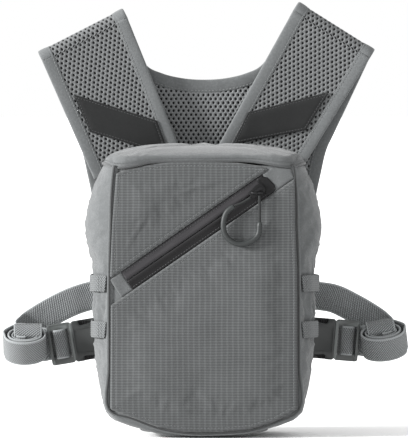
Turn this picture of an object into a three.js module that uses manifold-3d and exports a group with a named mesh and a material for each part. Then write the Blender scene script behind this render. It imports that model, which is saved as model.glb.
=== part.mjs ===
// Binocular harness pack: a padded chest pouch with a hinged lid and a diagonal zipped front pocket, worn
// on a mesh harness. Two shoulder straps rise from the back of the pouch, fold over the shoulders and join
// a yoke behind it, and two webbing straps run from the yoke's lower corners to side-release buckles on the
// pouch. Millimetres, +Z up. The front faces -Y and the origin is the middle of the flat base.
import * as THREE from "three";
import { mergeVertices } from "three/addons/utils/BufferGeometryUtils.js";
import Module from "manifold-3d";

const wasm = await Module();
wasm.setup();

// ---------------------------------------------------------------- driving dimensions

const GAP = 0.3; // between sewn neighbours
const FRONT_Y = -50; // outer face of the pouch's front wall
const BACK_Y = 46; // outer face of its back wall
const WALL = 2.5; // fabric and lining together
const FOAM_T = 5; // padding inside the pouch's walls
const LID_SEAM_Z = 229; // where the lid leaves the pouch
const LID_TOP_Z = 246;
const WEBBING = 25; // webbing width
const WEBBING_T = 1.6;

// Half width of the pouch at each height: a round belly above the side loops, and a base that curves in.
const BODY_PROFILE = [
  [0, 36], [3, 42], [9, 66], [17, 80], [32, 84], [63, 90], [92, 92.5], [131, 93.5], [147, 92.5],
  [165, 96.5], [178, 97.5], [196, 94.6], [212, 91], [226, 86.5], [LID_SEAM_Z, 85],
];
// Half width of the flat front face, which narrows towards the lid.
const FACE_PROFILE = [[0, 30], [9, 58], [17, 77], [40, 79], [140, 78.6], [180, 77], [LID_SEAM_Z, 73.5]];
const LID_PROFILE = [
  // height, half width, how far the front and back edges have rounded in
  [LID_SEAM_Z + GAP + 0.2, 84.5, 0], [235, 80.5, 0.5], [240, 71, 4], [244, 55, 12], [LID_TOP_Z, 34, 24],
];

// The diagonal zip runs up and to the right across the front.
const ZIP = { x: -76.3, z: 124.2, angle: 34.65, half: 9, start: 14, end: 158, slider: 146.8 };
const PANEL_T = 2.7;
const BAIL_X = 44.8; // middle of the slider's bail
const BAIL_Z = 206;
// Cord loop of the zip pull, [x, z], from under the bail's bar round and back to it from the left.
const PULL_LOOP = [
  [46.6, 203.9], [46.8, 195], [46.8, 187], [46.7, 179], [45.2, 170.4], [37, 164.2], [28, 163.4],
  [20.6, 167.4], [16.8, 173.8], [16.6, 183], [19.2, 190], [25, 194.8], [32, 197.8], [39.4, 202.3],
];

// Shoulder straps: outer and inner corner of the fold over each shoulder, and of each strap's lower end.
const STRAP_FOOT_Z = 216;
const STRAPS = {
  left: { fold: [[-142.8, 324.7], [-69.7, 362.1]], foot: [-94.5, -9.8] },
  right: { fold: [[146.8, 326.6], [81.2, 367.9]], foot: [79, -3.6] },
};
// Corners of the dark band across each strap.
const BANDS = {
  left: [[-112.4, 288.6], [-40.6, 266], [-33.2, 245.4], [-50.4, 242], [-98, 256.2]],
  right: [[37.8, 273.2], [107.6, 290.6], [87.4, 257.8], [24, 245.6]],
};
const STRAP_FRONT_Y = 49; // front face of the front layer
const YOKE_FRONT_Y = 62; // front face of the rear layer
const YOKE_HEM_Z = 96;
const MESH_T = 3;
const BINDING = 11; // width of the folded tape along every mesh edge
const BIND_LAP = 0.4; // how far that tape stands out from the mesh on each face
const FOLD_R = (YOKE_FRONT_Y - STRAP_FRONT_Y) / 2;

// Side-release buckles for 25 mm webbing: u runs outwards from the pouch, v is the width, t the thickness.
const BUCKLE = { length: 27, width: 35, thick: 10, plug: 20.5, y: 40, mouthX: 112 };
const BUCKLES = {
  left: { side: -1, z: 76.4, slope: 9.5, rollX: -152, rollZ: 74, rollW: 37.5, rollSlope: 0 },
  right: { side: 1, z: 78.4, slope: 4.5, rollX: 153, rollZ: 77, rollW: 40, rollSlope: 8 },
};

// ---------------------------------------------------------------- materials

const paint = (color, roughness = 0.85, metalness = 0) =>
  new THREE.MeshStandardMaterial({ color, roughness, metalness });
const CLOTH = paint(0x8b9092);
const RIPSTOP = paint(0x7f8486);
const MESH = paint(0x77797b);
const TAPE = paint(0x83898a);
const DARK_TAPE = paint(0x2f2e31, 0.6);
const COATED = paint(0x3a383c, 0.35);
const FOAM = paint(0x3c3f42);
const PLASTIC = paint(0x3f4443, 0.45);
const CORD = paint(0x4a5050, 0.7);
const BOARD = paint(0x1d1f21, 0.5);
const STEEL = paint(0x9a9da0, 0.3, 1);

const object = new THREE.Group();

function add(name, geometry, material, parent = object) {
  const mesh = new THREE.Mesh(geometry, material);
  mesh.name = name;
  parent.add(mesh);
  return mesh;
}

// ---------------------------------------------------------------- shape helpers

// Linear value at x in a list of [x, value] rows.
function along(rows, x) {
  const above = rows.findIndex((row) => row[0] > x);
  const i = above < 0 ? rows.length - 1 : Math.max(above, 1);
  const [a, b] = [rows[i - 1], rows[i]];
  return a[1] + ((b[1] - a[1]) * (x - a[0])) / (b[0] - a[0]);
}

// A closed solid through rings of points, all of one length, with a flat fan over each end.
function loft(rings) {
  const n = rings[0].length;
  const centre = (ring) => ring.reduce((sum, p) => sum.add(p), new THREE.Vector3()).divideScalar(n);
  const points = [...rings.flat(), centre(rings[0]), centre(rings.at(-1))];
  const index = [];
  for (let r = 0; r + 1 < rings.length; r++)
    for (let i = 0; i < n; i++) {
      const j = (i + 1) % n;
      const [a, b, c, d] = [r * n + i, r * n + j, (r + 1) * n + j, (r + 1) * n + i];
      index.push(a, b, c, a, c, d);
    }
  const top = (rings.length - 1) * n;
  for (let i = 0; i < n; i++) {
    const j = (i + 1) % n;
    index.push(rings.length * n, j, i, rings.length * n + 1, top + i, top + j);
  }
  const geometry = new THREE.BufferGeometry().setFromPoints(points);
  geometry.setIndex(index);
  return solid(geometry).volume() > 0 ? geometry : turned(geometry);
}

function turned(geometry) {
  const index = Array.from(geometry.index.array);
  for (let i = 0; i < index.length; i += 3) [index[i + 1], index[i + 2]] = [index[i + 2], index[i + 1]];
  geometry.setIndex(index);
  return geometry;
}

// A closed three.js geometry as a manifold solid, and back.
function solid(geometry) {
  const bare = geometry.clone();
  bare.deleteAttribute("normal");
  bare.deleteAttribute("uv");
  const merged = mergeVertices(bare, 1e-4);
  return new wasm.Manifold(
    new wasm.Mesh({
      numProp: 3,
      vertProperties: merged.attributes.position.array,
      triVerts: new Uint32Array(merged.index.array),
    }),
  );
}

function geometryOf(manifold) {
  const mesh = manifold.getMesh();
  const geometry = new THREE.BufferGeometry();
  geometry.setAttribute("position", new THREE.BufferAttribute(new Float32Array(mesh.vertProperties), 3));
  geometry.setIndex(new THREE.BufferAttribute(new Uint32Array(mesh.triVerts), 1));
  return geometry;
}

function cut(geometry, ...tools) {
  return geometryOf(tools.reduce((rest, tool) => rest.subtract(solid(tool)), solid(geometry)));
}

function join(...pieces) {
  return geometryOf(pieces.slice(1).reduce((sum, piece) => sum.add(solid(piece)), solid(pieces[0])));
}

// A box from its lowest to its highest corner.
function box(low, high) {
  const size = high.map((value, i) => value - low[i]);
  return new THREE.BoxGeometry(...size).translate(...low.map((value, i) => value + size[i] / 2));
}

// An outline of [x, z] points, seen from the front, as a sheet from yFront to yBack.
function sheet(outline, yFront, yBack) {
  const shape = new THREE.Shape(outline.map(([x, z]) => new THREE.Vector2(x, z)));
  const flat = new THREE.ExtrudeGeometry(shape, { depth: yBack - yFront, bevelEnabled: false });
  return flat.rotateX(Math.PI / 2).translate(0, yBack, 0);
}

// A flat band along centres, its width along the vector across(i) gives.
function ribbon(centres, across, width, thick) {
  const rings = centres.map((centre, i) => {
    const before = centres[Math.max(i - 1, 0)];
    const after = centres[Math.min(i + 1, centres.length - 1)];
    const tangent = after.clone().sub(before).normalize();
    const side = across(i).clone();
    side.addScaledVector(tangent, -side.dot(tangent)).normalize();
    const normal = tangent.clone().cross(side);
    const corner = (s, n) =>
      centre.clone().addScaledVector(side, (s * width) / 2).addScaledVector(normal, (n * thick) / 2);
    return [corner(-1, -1), corner(1, -1), corner(1, 1), corner(-1, 1)];
  });
  return loft(rings);
}

// A round bar or, with a hole, a hose along a curve.
function tube(curve, radius, steps, hole = 0, sides = 8) {
  const section = new THREE.Shape().absarc(0, 0, radius, 0, 2 * Math.PI);
  if (hole) section.holes.push(new THREE.Path().absarc(0, 0, hole, 0, 2 * Math.PI, true));
  return new THREE.ExtrudeGeometry(section, { steps, curveSegments: sides, extrudePath: curve });
}

// A polyline of [x, z] points moved sideways, to its left for a positive distance.
function offset(line, distance) {
  const last = line.length - 1;
  const normal = (i) => {
    const [a, b] = [line[i], line[i + 1]];
    return new THREE.Vector2(a[1] - b[1], b[0] - a[0]).normalize();
  };
  return line.map(([x, z], i) => {
    const before = normal(Math.max(i - 1, 0));
    const after = normal(Math.min(i, last - 1));
    const mitre = before.clone().add(after).normalize();
    const reach = distance / mitre.dot(before);
    return [x + mitre.x * reach, z + mitre.y * reach];
  });
}

const mix = (a, b, share) => a.map((value, i) => value + (b[i] - value) * share);

// ---------------------------------------------------------------- pouch

// Right half of the pouch's plan outline at height z, front to back. inset moves it inwards.
function halfPlan(z, inset) {
  const wide = along(BODY_PROFILE, z) - inset;
  const face = Math.min(along(FACE_PROFILE, z) - inset, wide - 2);
  const front = FRONT_Y + inset + Math.max(0, 8 - 2 * z);
  const back = BACK_Y - inset - Math.max(0, 8 - 2 * z);
  return [
    [face * 0.5, front], [face - 3, front], [face, front + 3], [face + (wide - face) * 0.62, front + 14],
    [wide, -10], [wide - 1.5, 12], [wide - 6, 30],
    [wide - 12, back - 6], [wide - 18, back], [wide * 0.35, back],
  ];
}

function bodyRing(z, inset = 0) {
  const right = halfPlan(z, inset);
  const left = [...right].reverse().map(([x, y]) => [-x, y]);
  return [...right, ...left].map(([x, y]) => new THREE.Vector3(x, y, z));
}

// x of the pouch's side wall at height z and depth y.
const sideX = (z, y) => along(halfPlan(z, 0).slice(2, 9).map(([x, depth]) => [depth, x]), y);

function makePouch() {
  const heights = BODY_PROFILE.map(([z]) => z);
  const outer = loft(heights.map((z) => bodyRing(z)));
  const floor = 4;
  const inside = [floor, ...heights.filter((z) => z > floor), LID_SEAM_Z + 5];
  const hollow = loft(inside.map((z) => bodyRing(Math.min(z, LID_SEAM_Z), WALL).map((p) => p.setZ(z))));
  add("pouch_shell", cut(outer, hollow), CLOTH);

  // Padding against the inside of every wall, a board on its floor and a board behind the wearer's pad.
  const padTop = 222;
  const padFloor = floor + GAP;
  const tub = (inset, bottom, top) => {
    const levels = [bottom, ...heights.filter((z) => z > bottom && z < LID_SEAM_Z - 4), top];
    return loft(levels.map((z) => bodyRing(Math.min(z, padTop), inset).map((p) => p.setZ(z))));
  };
  const pad = tub(WALL + GAP, padFloor, padTop);
  add("liner_foam", cut(pad, tub(WALL + GAP + FOAM_T, padFloor + FOAM_T, padTop + 5)), FOAM);
  add("bottom_board", box([-50, -34, padFloor + FOAM_T + GAP], [50, 29, padFloor + FOAM_T + 2.3]), BOARD);
  add("pouch_magnet_bar", box([-15, 38.6, padTop + GAP], [15, 42.6, padTop + 3.3]), STEEL);
  add("back_stiffener", box([-68, BACK_Y + GAP, 24], [68, BACK_Y + 1.9, 198]), BOARD);
  add("back_pad", box([-70, BACK_Y + 2.2, 20], [70, BACK_Y + 6.4, 199.5]), FOAM);
}

function makeLid() {
  const ring = ([z, wide, round], inset) => {
    const front = FRONT_Y - 1 + round;
    const back = BACK_Y - round;
    const right = [
      [wide * 0.5, front + inset], [wide - 14 - inset, front + inset],
      [wide - 5 - inset, front + 9], [wide - inset, front + 27 - round * 0.5],
      [wide - inset, 20 - round * 0.5], [wide - 5 - inset, back - 10],
      [wide - 14 - inset, back - inset], [wide * 0.4, back - inset],
    ];
    const left = [...right].reverse().map(([x, y]) => [-x, y]);
    return [...right, ...left].map(([x, y]) => new THREE.Vector3(x, y, z));
  };
  const outer = loft(LID_PROFILE.map((row) => ring(row, 0)));
  const shell = 3;
  const hollow = LID_PROFILE.slice(0, 4);
  const cavity = hollow.map(([z, ...rest], i) => ring([z - (i ? shell : 5), ...rest], shell));
  add("lid_shell", cut(outer, loft(cavity)), CLOTH);
  add("lid_foam", box([-62, -42, 230.2], [62, 33, 235]), FOAM);
  add("lid_magnet_bar", box([-15, 34, 230], [15, 38, 233]), STEEL);
  add("lid_pull_tab", box([-10, BACK_Y + GAP, 231], [10, BACK_Y + 1.9, 240]), TAPE);
}

// ---------------------------------------------------------------- front pocket and zip

// A point on the front: s along the zip from its lower left end, q above its middle line.
function zipPoint(s, q) {
  const a = (ZIP.angle * Math.PI) / 180;
  return [ZIP.x + s * Math.cos(a) - q * Math.sin(a), ZIP.z + s * Math.sin(a) + q * Math.cos(a)];
}

function makeFrontPocket() {
  const back = FRONT_Y - GAP;
  const front = back - PANEL_T;
  const q = ZIP.half + 0.35;
  const lidEdge = [[30, 228], [-40, 228], [-66, 226.8], [-74, 223], [-77.4, 180]];
  const upper = [zipPoint(2.6, q), zipPoint(166, q), ...lidEdge];
  const bottom = [[79, 24], [61, 14], [40, 7], [15, 4.6], [-15, 4.6], [-38, 8.5], [-61, 17], [-79, 24]];
  const lower = [[-78.6, 111.5], zipPoint(2, -q), zipPoint(179.5, -q), [76.8, 180], [78.6, 140], ...bottom];
  add("front_panel_upper", sheet(upper, front, back), RIPSTOP);
  add("front_panel_lower", sheet(lower, front, back), RIPSTOP);

  const facing = back - 1.5;
  const lowerEnd = ZIP.start - GAP;
  const upperEnd = ZIP.end + GAP;
  const acrossZip = (s) => [zipPoint(s, -ZIP.half), zipPoint(s, ZIP.half)];
  const low = [...acrossZip(lowerEnd), zipPoint(2.4, ZIP.half), zipPoint(2, -ZIP.half)];
  const high = [...acrossZip(upperEnd).reverse(), zipPoint(179, -ZIP.half), [73, 226.5], [57.5, 227.5]];
  add("zip_garage_lower", sheet(low, facing, back), CLOTH);
  add("zip_garage_upper", sheet(high, facing, back), CLOTH);
  for (const [name, sign] of [["zip_tape_upper", 1], ["zip_tape_lower", -1]]) {
    const strip = [[ZIP.start, 0.2], [ZIP.end, 0.2], [ZIP.end, ZIP.half], [ZIP.start, ZIP.half]];
    const outline = strip.map(([s, across]) => zipPoint(s, across * sign));
    add(name, sheet(outline, back - 1.9, back - 0.9), COATED);
  }
  const chain = [[ZIP.start, -2.5], [ZIP.end, -2.5], [ZIP.end, 2.5], [ZIP.start, 2.5]];
  add("zip_coil", sheet(chain.map(([s, across]) => zipPoint(s, across)), back - 0.6, back), DARK_TAPE);

  // Piping down both sides of the panel and round its lower edge.
  const side = [[79, 60], [78.6, 140], [77.4, 180], [77, 200], [75.5, 222]];
  const rim = [...[...side].reverse(), ...bottom, ...side.map(([x, z]) => [-x, z])];
  const course = offset(rim, 2.3).map(([x, z]) => new THREE.Vector3(x, FRONT_Y - 1.6, z));
  const curve = new THREE.CatmullRomCurve3(course, false, "centripetal");
  add("front_panel_piping", tube(curve, 1.2, 60, 0, 3), TAPE);
}

function makeZipSlider() {
  const turn = (ZIP.angle * Math.PI) / 180;
  const [x, z] = zipPoint(ZIP.slider, 0);
  const back = FRONT_Y - GAP - 2.2;
  const y = FRONT_Y - PANEL_T - 4.3;
  const body = box([-7, back - 3, -4.5], [7, back, 4.5]).rotateY(-turn).translate(x, 0, z);

  // Round bar of the bail, level, on two cheeks.
  const bar = new THREE.CylinderGeometry(1.6, 1.6, 9, 12).rotateZ(Math.PI / 2).translate(BAIL_X, y, BAIL_Z);
  const cheeks = [BAIL_X - 3.75, BAIL_X + 3.75].map((at) =>
    box([at - 0.75, y, BAIL_Z - 1.4], [at + 0.75, back - 2.9, BAIL_Z + 1.4]),
  );
  add("zip_slider", join(body, bar, ...cheeks), PLASTIC);

  // Cord loop under the bar, held open by a moulded sleeve.
  const cord = new THREE.CatmullRomCurve3(PULL_LOOP.map(([px, pz]) => new THREE.Vector3(px, y, pz)));
  const sleeve = new THREE.Curve();
  sleeve.getPoint = (t) => cord.getPointAt(0.2 + 0.66 * t);
  add("zip_pull_cord", tube(cord, 1.1, 56, 0, 4), CORD);
  add("zip_pull_sleeve", tube(sleeve, 2.3, 36, 1.45, 6), PLASTIC);
}

// ---------------------------------------------------------------- webbing on the pouch's sides

function makeSideLoops() {
  const width = 14;
  const rows = [["upper", 129], ["lower", 90]];
  const depths = [-43, -36, -26, -14, -2, 10, 22, 31, 37];
  for (const [row, z] of rows)
    for (const [side, sign] of [["left", -1], ["right", 1]]) {
      const centres = depths.map((y, i) => {
        const slack = i === 0 || i === depths.length - 1 ? 1.4 : 3.4;
        const x = Math.max(sideX(z - width / 2, y), sideX(z, y), sideX(z + width / 2, y)) + slack;
        return new THREE.Vector3(sign * x, y, z);
      });
      add(`side_loop_${side}_${row}`, ribbon(centres, () => new THREE.Vector3(0, 0, 1), width, 1.4), TAPE);
    }
}

// ---------------------------------------------------------------- buckles

// Left and right buckles are the same solids turned about the vertical, then sloped.
function makeBuckle(side, spec) {
  const slope = (spec.slope * Math.PI) / 180;
  const { length: L, width, thick } = BUCKLE;
  const W = width / 2;
  const T = thick / 2;
  const group = new THREE.Group();
  const innerX = BUCKLE.mouthX - L * Math.cos(slope);
  group.position.set(spec.side * innerX, BUCKLE.y, spec.z + L * Math.sin(slope));
  group.rotation.set(0, spec.side < 0 ? Math.PI - slope : slope, 0, "ZYX");
  object.add(group);

  // Socket: a flat case open at its mouth and at a window in each side, with a slot for its tab.
  const outline = [[2, -W + 3], [5, -W], [L, -W], [L, W], [5, W], [2, W - 3]];
  const shape = new THREE.Shape(outline.map(([u, v]) => new THREE.Vector2(u, v)));
  const bevel = { bevelSize: 1, bevelThickness: 1, bevelSegments: 1, bevelOffset: -1 };
  const body = new THREE.ExtrudeGeometry(shape, { depth: thick - 2, ...bevel });
  body.translate(0, 0, 1 - T).rotateX(Math.PI / 2);
  const cavity = box([8, 2 - T, 2.7 - W], [L + 1, T - 2, W - 2.7]);
  const windows = [box([9, 2 - T, -W - 2], [20, T - 2, 5 - W]), box([9, 2 - T, W - 5], [20, T - 2, W + 2])];
  const slot = box([4.2, -T - 1, -WEBBING / 2 - 0.5], [7, T + 1, WEBBING / 2 + 0.5]);
  add(`buckle_socket_${side}`, cut(body, cavity, ...windows, slot), PLASTIC, group);

  // Plug: ladder frame outside the mouth, centre guide inside it.
  const start = L + GAP;
  const end = start + BUCKLE.plug;
  const frame = box([start, -3.5, -W], [end, 3.5, W]);
  const ladder = (from, to) => box([from, -5, -WEBBING / 2 - 1], [to, 5, WEBBING / 2 + 1]);
  const slots = [ladder(start + 3, start + 6.2), ladder(end - 5.6, end - 2.6)];
  const guide = box([10, -1.8, -2], [start + 1, 1.8, 2]);
  add(`buckle_plug_${side}`, join(cut(frame, ...slots), guide), PLASTIC, group);

  // Two sprung prongs whose barbs show in the socket's side windows.
  const prong = [
    [start - GAP, 8.4], [start - GAP, 11.2], [19.6, 12.2], [19.4, 17],
    [14, 16.6], [9.6, 13], [9.6, 9.2], [17, 8.4],
  ];
  for (const [row, turn] of [["upper", spec.side], ["lower", -spec.side]]) {
    const mirrored = prong.map(([u, v]) => [u, v * turn]);
    add(`buckle_prong_${side}_${row}`, sheet(mirrored, -2.4, 2.4), PLASTIC, group);
  }

  // Webbing tab that ties the socket to the pouch's rear seam.
  const seam = BACK_Y + 1.2;
  const tab = [[71, seam], [75.5, seam - 0.1], [79.5, 44.6], [82.4, 42.2], [innerX - 0.5, BUCKLE.y + 0.3]];
  const centres = tab.map(([x, y]) => new THREE.Vector3(spec.side * x, y, group.position.z + 0.5));
  add(`socket_tab_${side}`, ribbon(centres, () => new THREE.Vector3(0, 0, 1), WEBBING, WEBBING_T), TAPE);

  // Rolled-up tail of the strap, its top leaning to the front.
  const radius = spec.rollW / 2;
  const roll = new THREE.CylinderGeometry(radius, radius, WEBBING, 24).scale(1, 1, 25 / spec.rollW);
  roll.rotateX(Math.PI / 2 + (38 * Math.PI) / 180).rotateY((-spec.rollSlope * Math.PI) / 180);
  roll.translate(spec.rollX, 23.5, spec.rollZ);
  add(`webbing_roll_${side}`, roll, TAPE);
}

// ---------------------------------------------------------------- harness

// Corners of one strap: its fold edge is lowered by the thickness of the rolled fold itself.
function strapCorners({ fold, foot }) {
  const [outer, inner] = fold;
  const run = new THREE.Vector2(inner[0] - outer[0], inner[1] - outer[1]).normalize();
  const down = new THREE.Vector2(run.y, -run.x).multiplyScalar(Math.sign(run.x));
  const lower = (p) => [p[0] + down.x * (FOLD_R + MESH_T / 2), p[1] + down.y * (FOLD_R + MESH_T / 2)];
  const [footOuter, footInner] = foot.map((x) => [x, STRAP_FOOT_Z]);
  return { outer: lower(outer), inner: lower(inner), footOuter, footInner, down };
}

function makeShoulderStrap(side, spec) {
  const { outer, inner, footOuter, footInner } = strapCorners(spec);
  const front = STRAP_FRONT_Y;
  const back = front + MESH_T;
  const full = Math.hypot(inner[0] - outer[0], inner[1] - outer[1]);
  const top = (edge) => mix(outer, inner, edge / full);
  const foot = (edge) => mix(footOuter, footInner, edge / full);
  const strip = (a, b) => [top(a), foot(a), foot(b), top(b)];
  const bindings = { outer: strip(0, BINDING), inner: strip(full - BINDING, full) };
  add(`strap_mesh_${side}`, sheet(strip(BINDING + GAP, full - BINDING - GAP), front, back), MESH);
  for (const [edge, outline] of Object.entries(bindings))
    add(`strap_binding_${side}_${edge}`, sheet(outline, front - BIND_LAP, back + BIND_LAP), TAPE);

  // Dark reinforcing band sewn across the mesh, lower towards the middle.
  add(`strap_band_${side}`, sheet(BANDS[side], front - 2, front - 0.7), DARK_TAPE);

  const sign = Math.sign(outer[0]);
  const anchor = [[sign * 16, 215.5], [sign * 70, 215.5], [sign * 64, 200.2], [sign * 20, 200.2]];
  add(`strap_anchor_${side}`, sheet(anchor, BACK_Y + GAP, BACK_Y + 5), TAPE);
}

// A loop of mesh and tape over one shoulder, from the front layer to the rear one.
function makeShoulderFold(side, spec) {
  const { outer, inner, down } = strapCorners(spec);
  const middle = mix(outer, inner, 0.5);
  const width = Math.hypot(inner[0] - outer[0], inner[1] - outer[1]);
  const centreY = STRAP_FRONT_Y + MESH_T / 2 + FOLD_R;
  const centres = [];
  for (let i = 0; i <= 12; i++) {
    const a = (Math.PI * i) / 12;
    const rise = GAP + FOLD_R * Math.sin(a);
    const y = centreY - FOLD_R * Math.cos(a);
    centres.push(new THREE.Vector3(middle[0] - down.x * rise, y, middle[1] - down.y * rise));
  }
  const across = new THREE.Vector3(inner[0] - outer[0], 0, inner[1] - outer[1]).normalize();
  add(`shoulder_fold_${side}`, ribbon(centres, () => across, width, MESH_T), MESH);
}

// Yoke: one mesh panel whose two arms reach up to the folds, bound along every edge.
function makeYoke() {
  const arm = { left: strapCorners(STRAPS.left), right: strapCorners(STRAPS.right) };
  const waist = [[112, 255], [105.5, 241], [100.5, 220], [96, 198], [92, 165], [90, 130], [88, YOKE_HEM_Z]];
  const left = [arm.left.outer, ...waist.map(([x, z]) => [-x, z])];
  const right = [arm.right.outer, ...waist];
  const dip = [[18, 302.2], [36, 306.5], [50, 314]];
  const neck = [
    arm.left.inner, ...dip.map(([x, z]) => [-x, z]).reverse(), [0, 301], ...dip, arm.right.inner,
  ];
  const [front, back] = [YOKE_FRONT_Y, YOKE_FRONT_Y + MESH_T];

  // Both arms end square at their fold, so an edge moved inwards still ends on the fold's line.
  const foldPoint = (from, to, d) => mix(from, to, d / Math.hypot(to[0] - from[0], to[1] - from[1]));
  const fromOuter = ({ outer, inner }, d) => foldPoint(outer, inner, d);
  const fromInner = ({ outer, inner }, d) => foldPoint(inner, outer, d);
  const inwards = {
    left: (d) => [fromOuter(arm.left, d), ...offset(left, d).slice(1)],
    right: (d) => [fromOuter(arm.right, d), ...offset(right, -d).slice(1)],
    neck: (d) => [fromInner(arm.left, d), ...offset(neck, -d).slice(1, -1), fromInner(arm.right, d)],
  };
  for (const [name, line] of Object.entries({ left, right, neck })) {
    const outline = [...line, ...inwards[name](BINDING).reverse()];
    add(`yoke_binding_${name}`, sheet(outline, front - BIND_LAP, back + BIND_LAP), TAPE);
  }
  const inset = BINDING + GAP;
  const hemTop = YOKE_HEM_Z + BINDING;
  const hemStrip = [[-76, YOKE_HEM_Z], [76, YOKE_HEM_Z], [76, hemTop], [-76, hemTop]];
  add("yoke_binding_bottom", sheet(hemStrip, front - BIND_LAP, back + BIND_LAP), TAPE);
  const toHem = (line) => [...line.slice(0, -1), [line.at(-1)[0], YOKE_HEM_Z + inset]];
  const leftEdge = toHem(inwards.left(inset)).reverse();
  const outline = [...leftEdge, ...inwards.neck(inset), ...toHem(inwards.right(inset))];
  add("yoke_panel", sheet(outline, front, back), MESH);
}

// Webbing from the yoke's lower corner, out past the roll and back in to the plug.
function makeSideWebbing(side, spec) {
  const rear = YOKE_FRONT_Y + MESH_T + BIND_LAP + GAP + WEBBING_T / 2;
  const lift = spec.z - 76.4;
  const route = [
    [72, rear, 117], [84, rear, 117], [97, rear - 0.6, 115],
    [112, 63.8, 110.5 + lift], [127, 61.8, 103.5 + lift],
    [141, 59.5, 95.5 + lift], [152, 56.6, 88 + lift], [158, 51.5, 82.5 + lift], [155.5, 46.8, 79 + lift],
    [147, 45, 77 + lift], [135, 44.6, 75.6 + lift],
  ].map(([x, y, z]) => new THREE.Vector3(spec.side * x, y, z));
  const curve = new THREE.CatmullRomCurve3(route);
  const centres = curve.getSpacedPoints(30);
  add(`side_webbing_${side}`, ribbon(centres, () => new THREE.Vector3(0, 0, 1), WEBBING, WEBBING_T), TAPE);
}

// ---------------------------------------------------------------- assembly

makePouch();
makeLid();
makeFrontPocket();
makeZipSlider();
makeSideLoops();
for (const [side, spec] of Object.entries(BUCKLES)) {
  makeBuckle(side, spec);
  makeSideWebbing(side, spec);
}
for (const [side, spec] of Object.entries(STRAPS)) {
  makeShoulderStrap(side, spec);
  makeShoulderFold(side, spec);
}
makeYoke();

export default object;
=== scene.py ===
"""Binocular harness pack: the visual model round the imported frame.

Shapes are worked out in millimetres in the CAD frame (+Z up, the front faces -Y) and made in metres.
"""
import math

import bmesh
import bpy
import numpy as np
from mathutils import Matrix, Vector, geometry, noise


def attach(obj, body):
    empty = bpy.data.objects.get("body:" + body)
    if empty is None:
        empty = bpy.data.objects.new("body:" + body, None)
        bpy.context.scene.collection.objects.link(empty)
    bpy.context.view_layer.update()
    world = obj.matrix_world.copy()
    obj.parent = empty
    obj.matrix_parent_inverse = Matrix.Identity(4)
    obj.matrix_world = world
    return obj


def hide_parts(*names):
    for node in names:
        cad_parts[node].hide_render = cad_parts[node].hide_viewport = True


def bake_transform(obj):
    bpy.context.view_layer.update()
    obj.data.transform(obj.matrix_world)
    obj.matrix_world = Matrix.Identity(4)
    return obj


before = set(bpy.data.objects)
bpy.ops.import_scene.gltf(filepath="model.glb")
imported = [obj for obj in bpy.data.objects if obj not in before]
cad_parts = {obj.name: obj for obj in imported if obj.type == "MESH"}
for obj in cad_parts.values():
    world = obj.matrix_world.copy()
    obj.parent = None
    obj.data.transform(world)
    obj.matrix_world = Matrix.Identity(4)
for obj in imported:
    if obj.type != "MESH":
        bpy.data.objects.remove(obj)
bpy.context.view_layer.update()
MM = 0.001

# ---------------------------------------------------------------- sizes, as the CAD has them

FRONT_Y, BACK_Y = -50.0, 46.0
LID_Z = 229.0
PANEL_Y = FRONT_Y - 0.3
STRAP_Y, YOKE_Y, MESH_T = 49.0, 62.0, 3.0
FOLD_R = (YOKE_Y - STRAP_Y) / 2
BINDING = 11.0
WEBBING, WEBBING_T = 25.0, 1.6
ZIP_X, ZIP_Z, ZIP_ANGLE, ZIP_HALF = -76.3, 124.2, 34.65, 9.0
ZIP_START, ZIP_END, ZIP_SLIDER = 14.0, 158.0, 146.8  # along the zip from its foot
BAIL = (44.8, -57.0, 206.0)
PULL_LOOP = [
    (46.6, 203.9), (46.8, 195), (46.8, 187), (46.7, 179), (45.2, 170.4), (37, 164.2), (28, 163.4),
    (20.6, 167.4),
    (16.8, 173.8), (16.6, 183), (19.2, 190), (25, 194.8), (32, 197.8), (39.4, 202.3),
]
BODY_PROFILE = [
    (0, 36), (3, 42), (9, 66), (17, 80), (32, 84), (63, 90), (92, 92.5), (131, 93.5), (147, 92.5),
    (165, 96.5), (178, 97.5), (196, 94.6), (212, 91), (226, 86.5), (229, 85),
]
FACE_PROFILE = [(0, 30), (9, 58), (17, 77), (40, 79), (140, 78.6), (180, 77), (229, 73.5)]
STRAPS = {
    "left": {"fold": ((-142.8, 324.7), (-69.7, 362.1)), "foot": (-94.5, -9.8)},
    "right": {"fold": ((146.8, 326.6), (81.2, 367.9)), "foot": (79, -3.6)},
}
FOOT_Z = 216.0
BANDS = {
    "left": [(-112.4, 288.6), (-40.6, 266), (-33.2, 245.4), (-50.4, 242), (-98, 256.2)],
    "right": [(37.8, 273.2), (107.6, 290.6), (87.4, 257.8), (24, 245.6)],
}
HEM_Z = 96.0
LOOPS = {"upper": 129, "lower": 90}  # heights of the gussets' webbing loops
CORD_RADIUS = 1.1
SLEEVE_FROM, SLEEVE_TO = 0.2, 0.86  # shares of the cord's length
BUCKLES = {
    "left": {"side": -1, "z": 76.4, "slope": 9.5, "roll_x": -152, "roll_z": 74, "roll_w": 37.5,
             "roll_slope": 0, "flap": 1.5},
    "right": {"side": 1, "z": 78.4, "slope": 4.5, "roll_x": 153, "roll_z": 77, "roll_w": 40,
              "roll_slope": 8, "flap": -0.6},
}
SOCKET_L, MOUTH_X, BUCKLE_Y = 27.0, 112.0, 40.0


def smooth_rows(rows, n=200):
    """The same rows as a smooth curve: Catmull-Rom through their points."""
    pts = catmull(np.array(rows, float), n)
    order = np.argsort(pts[:, 0])
    return pts[order]


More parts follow.
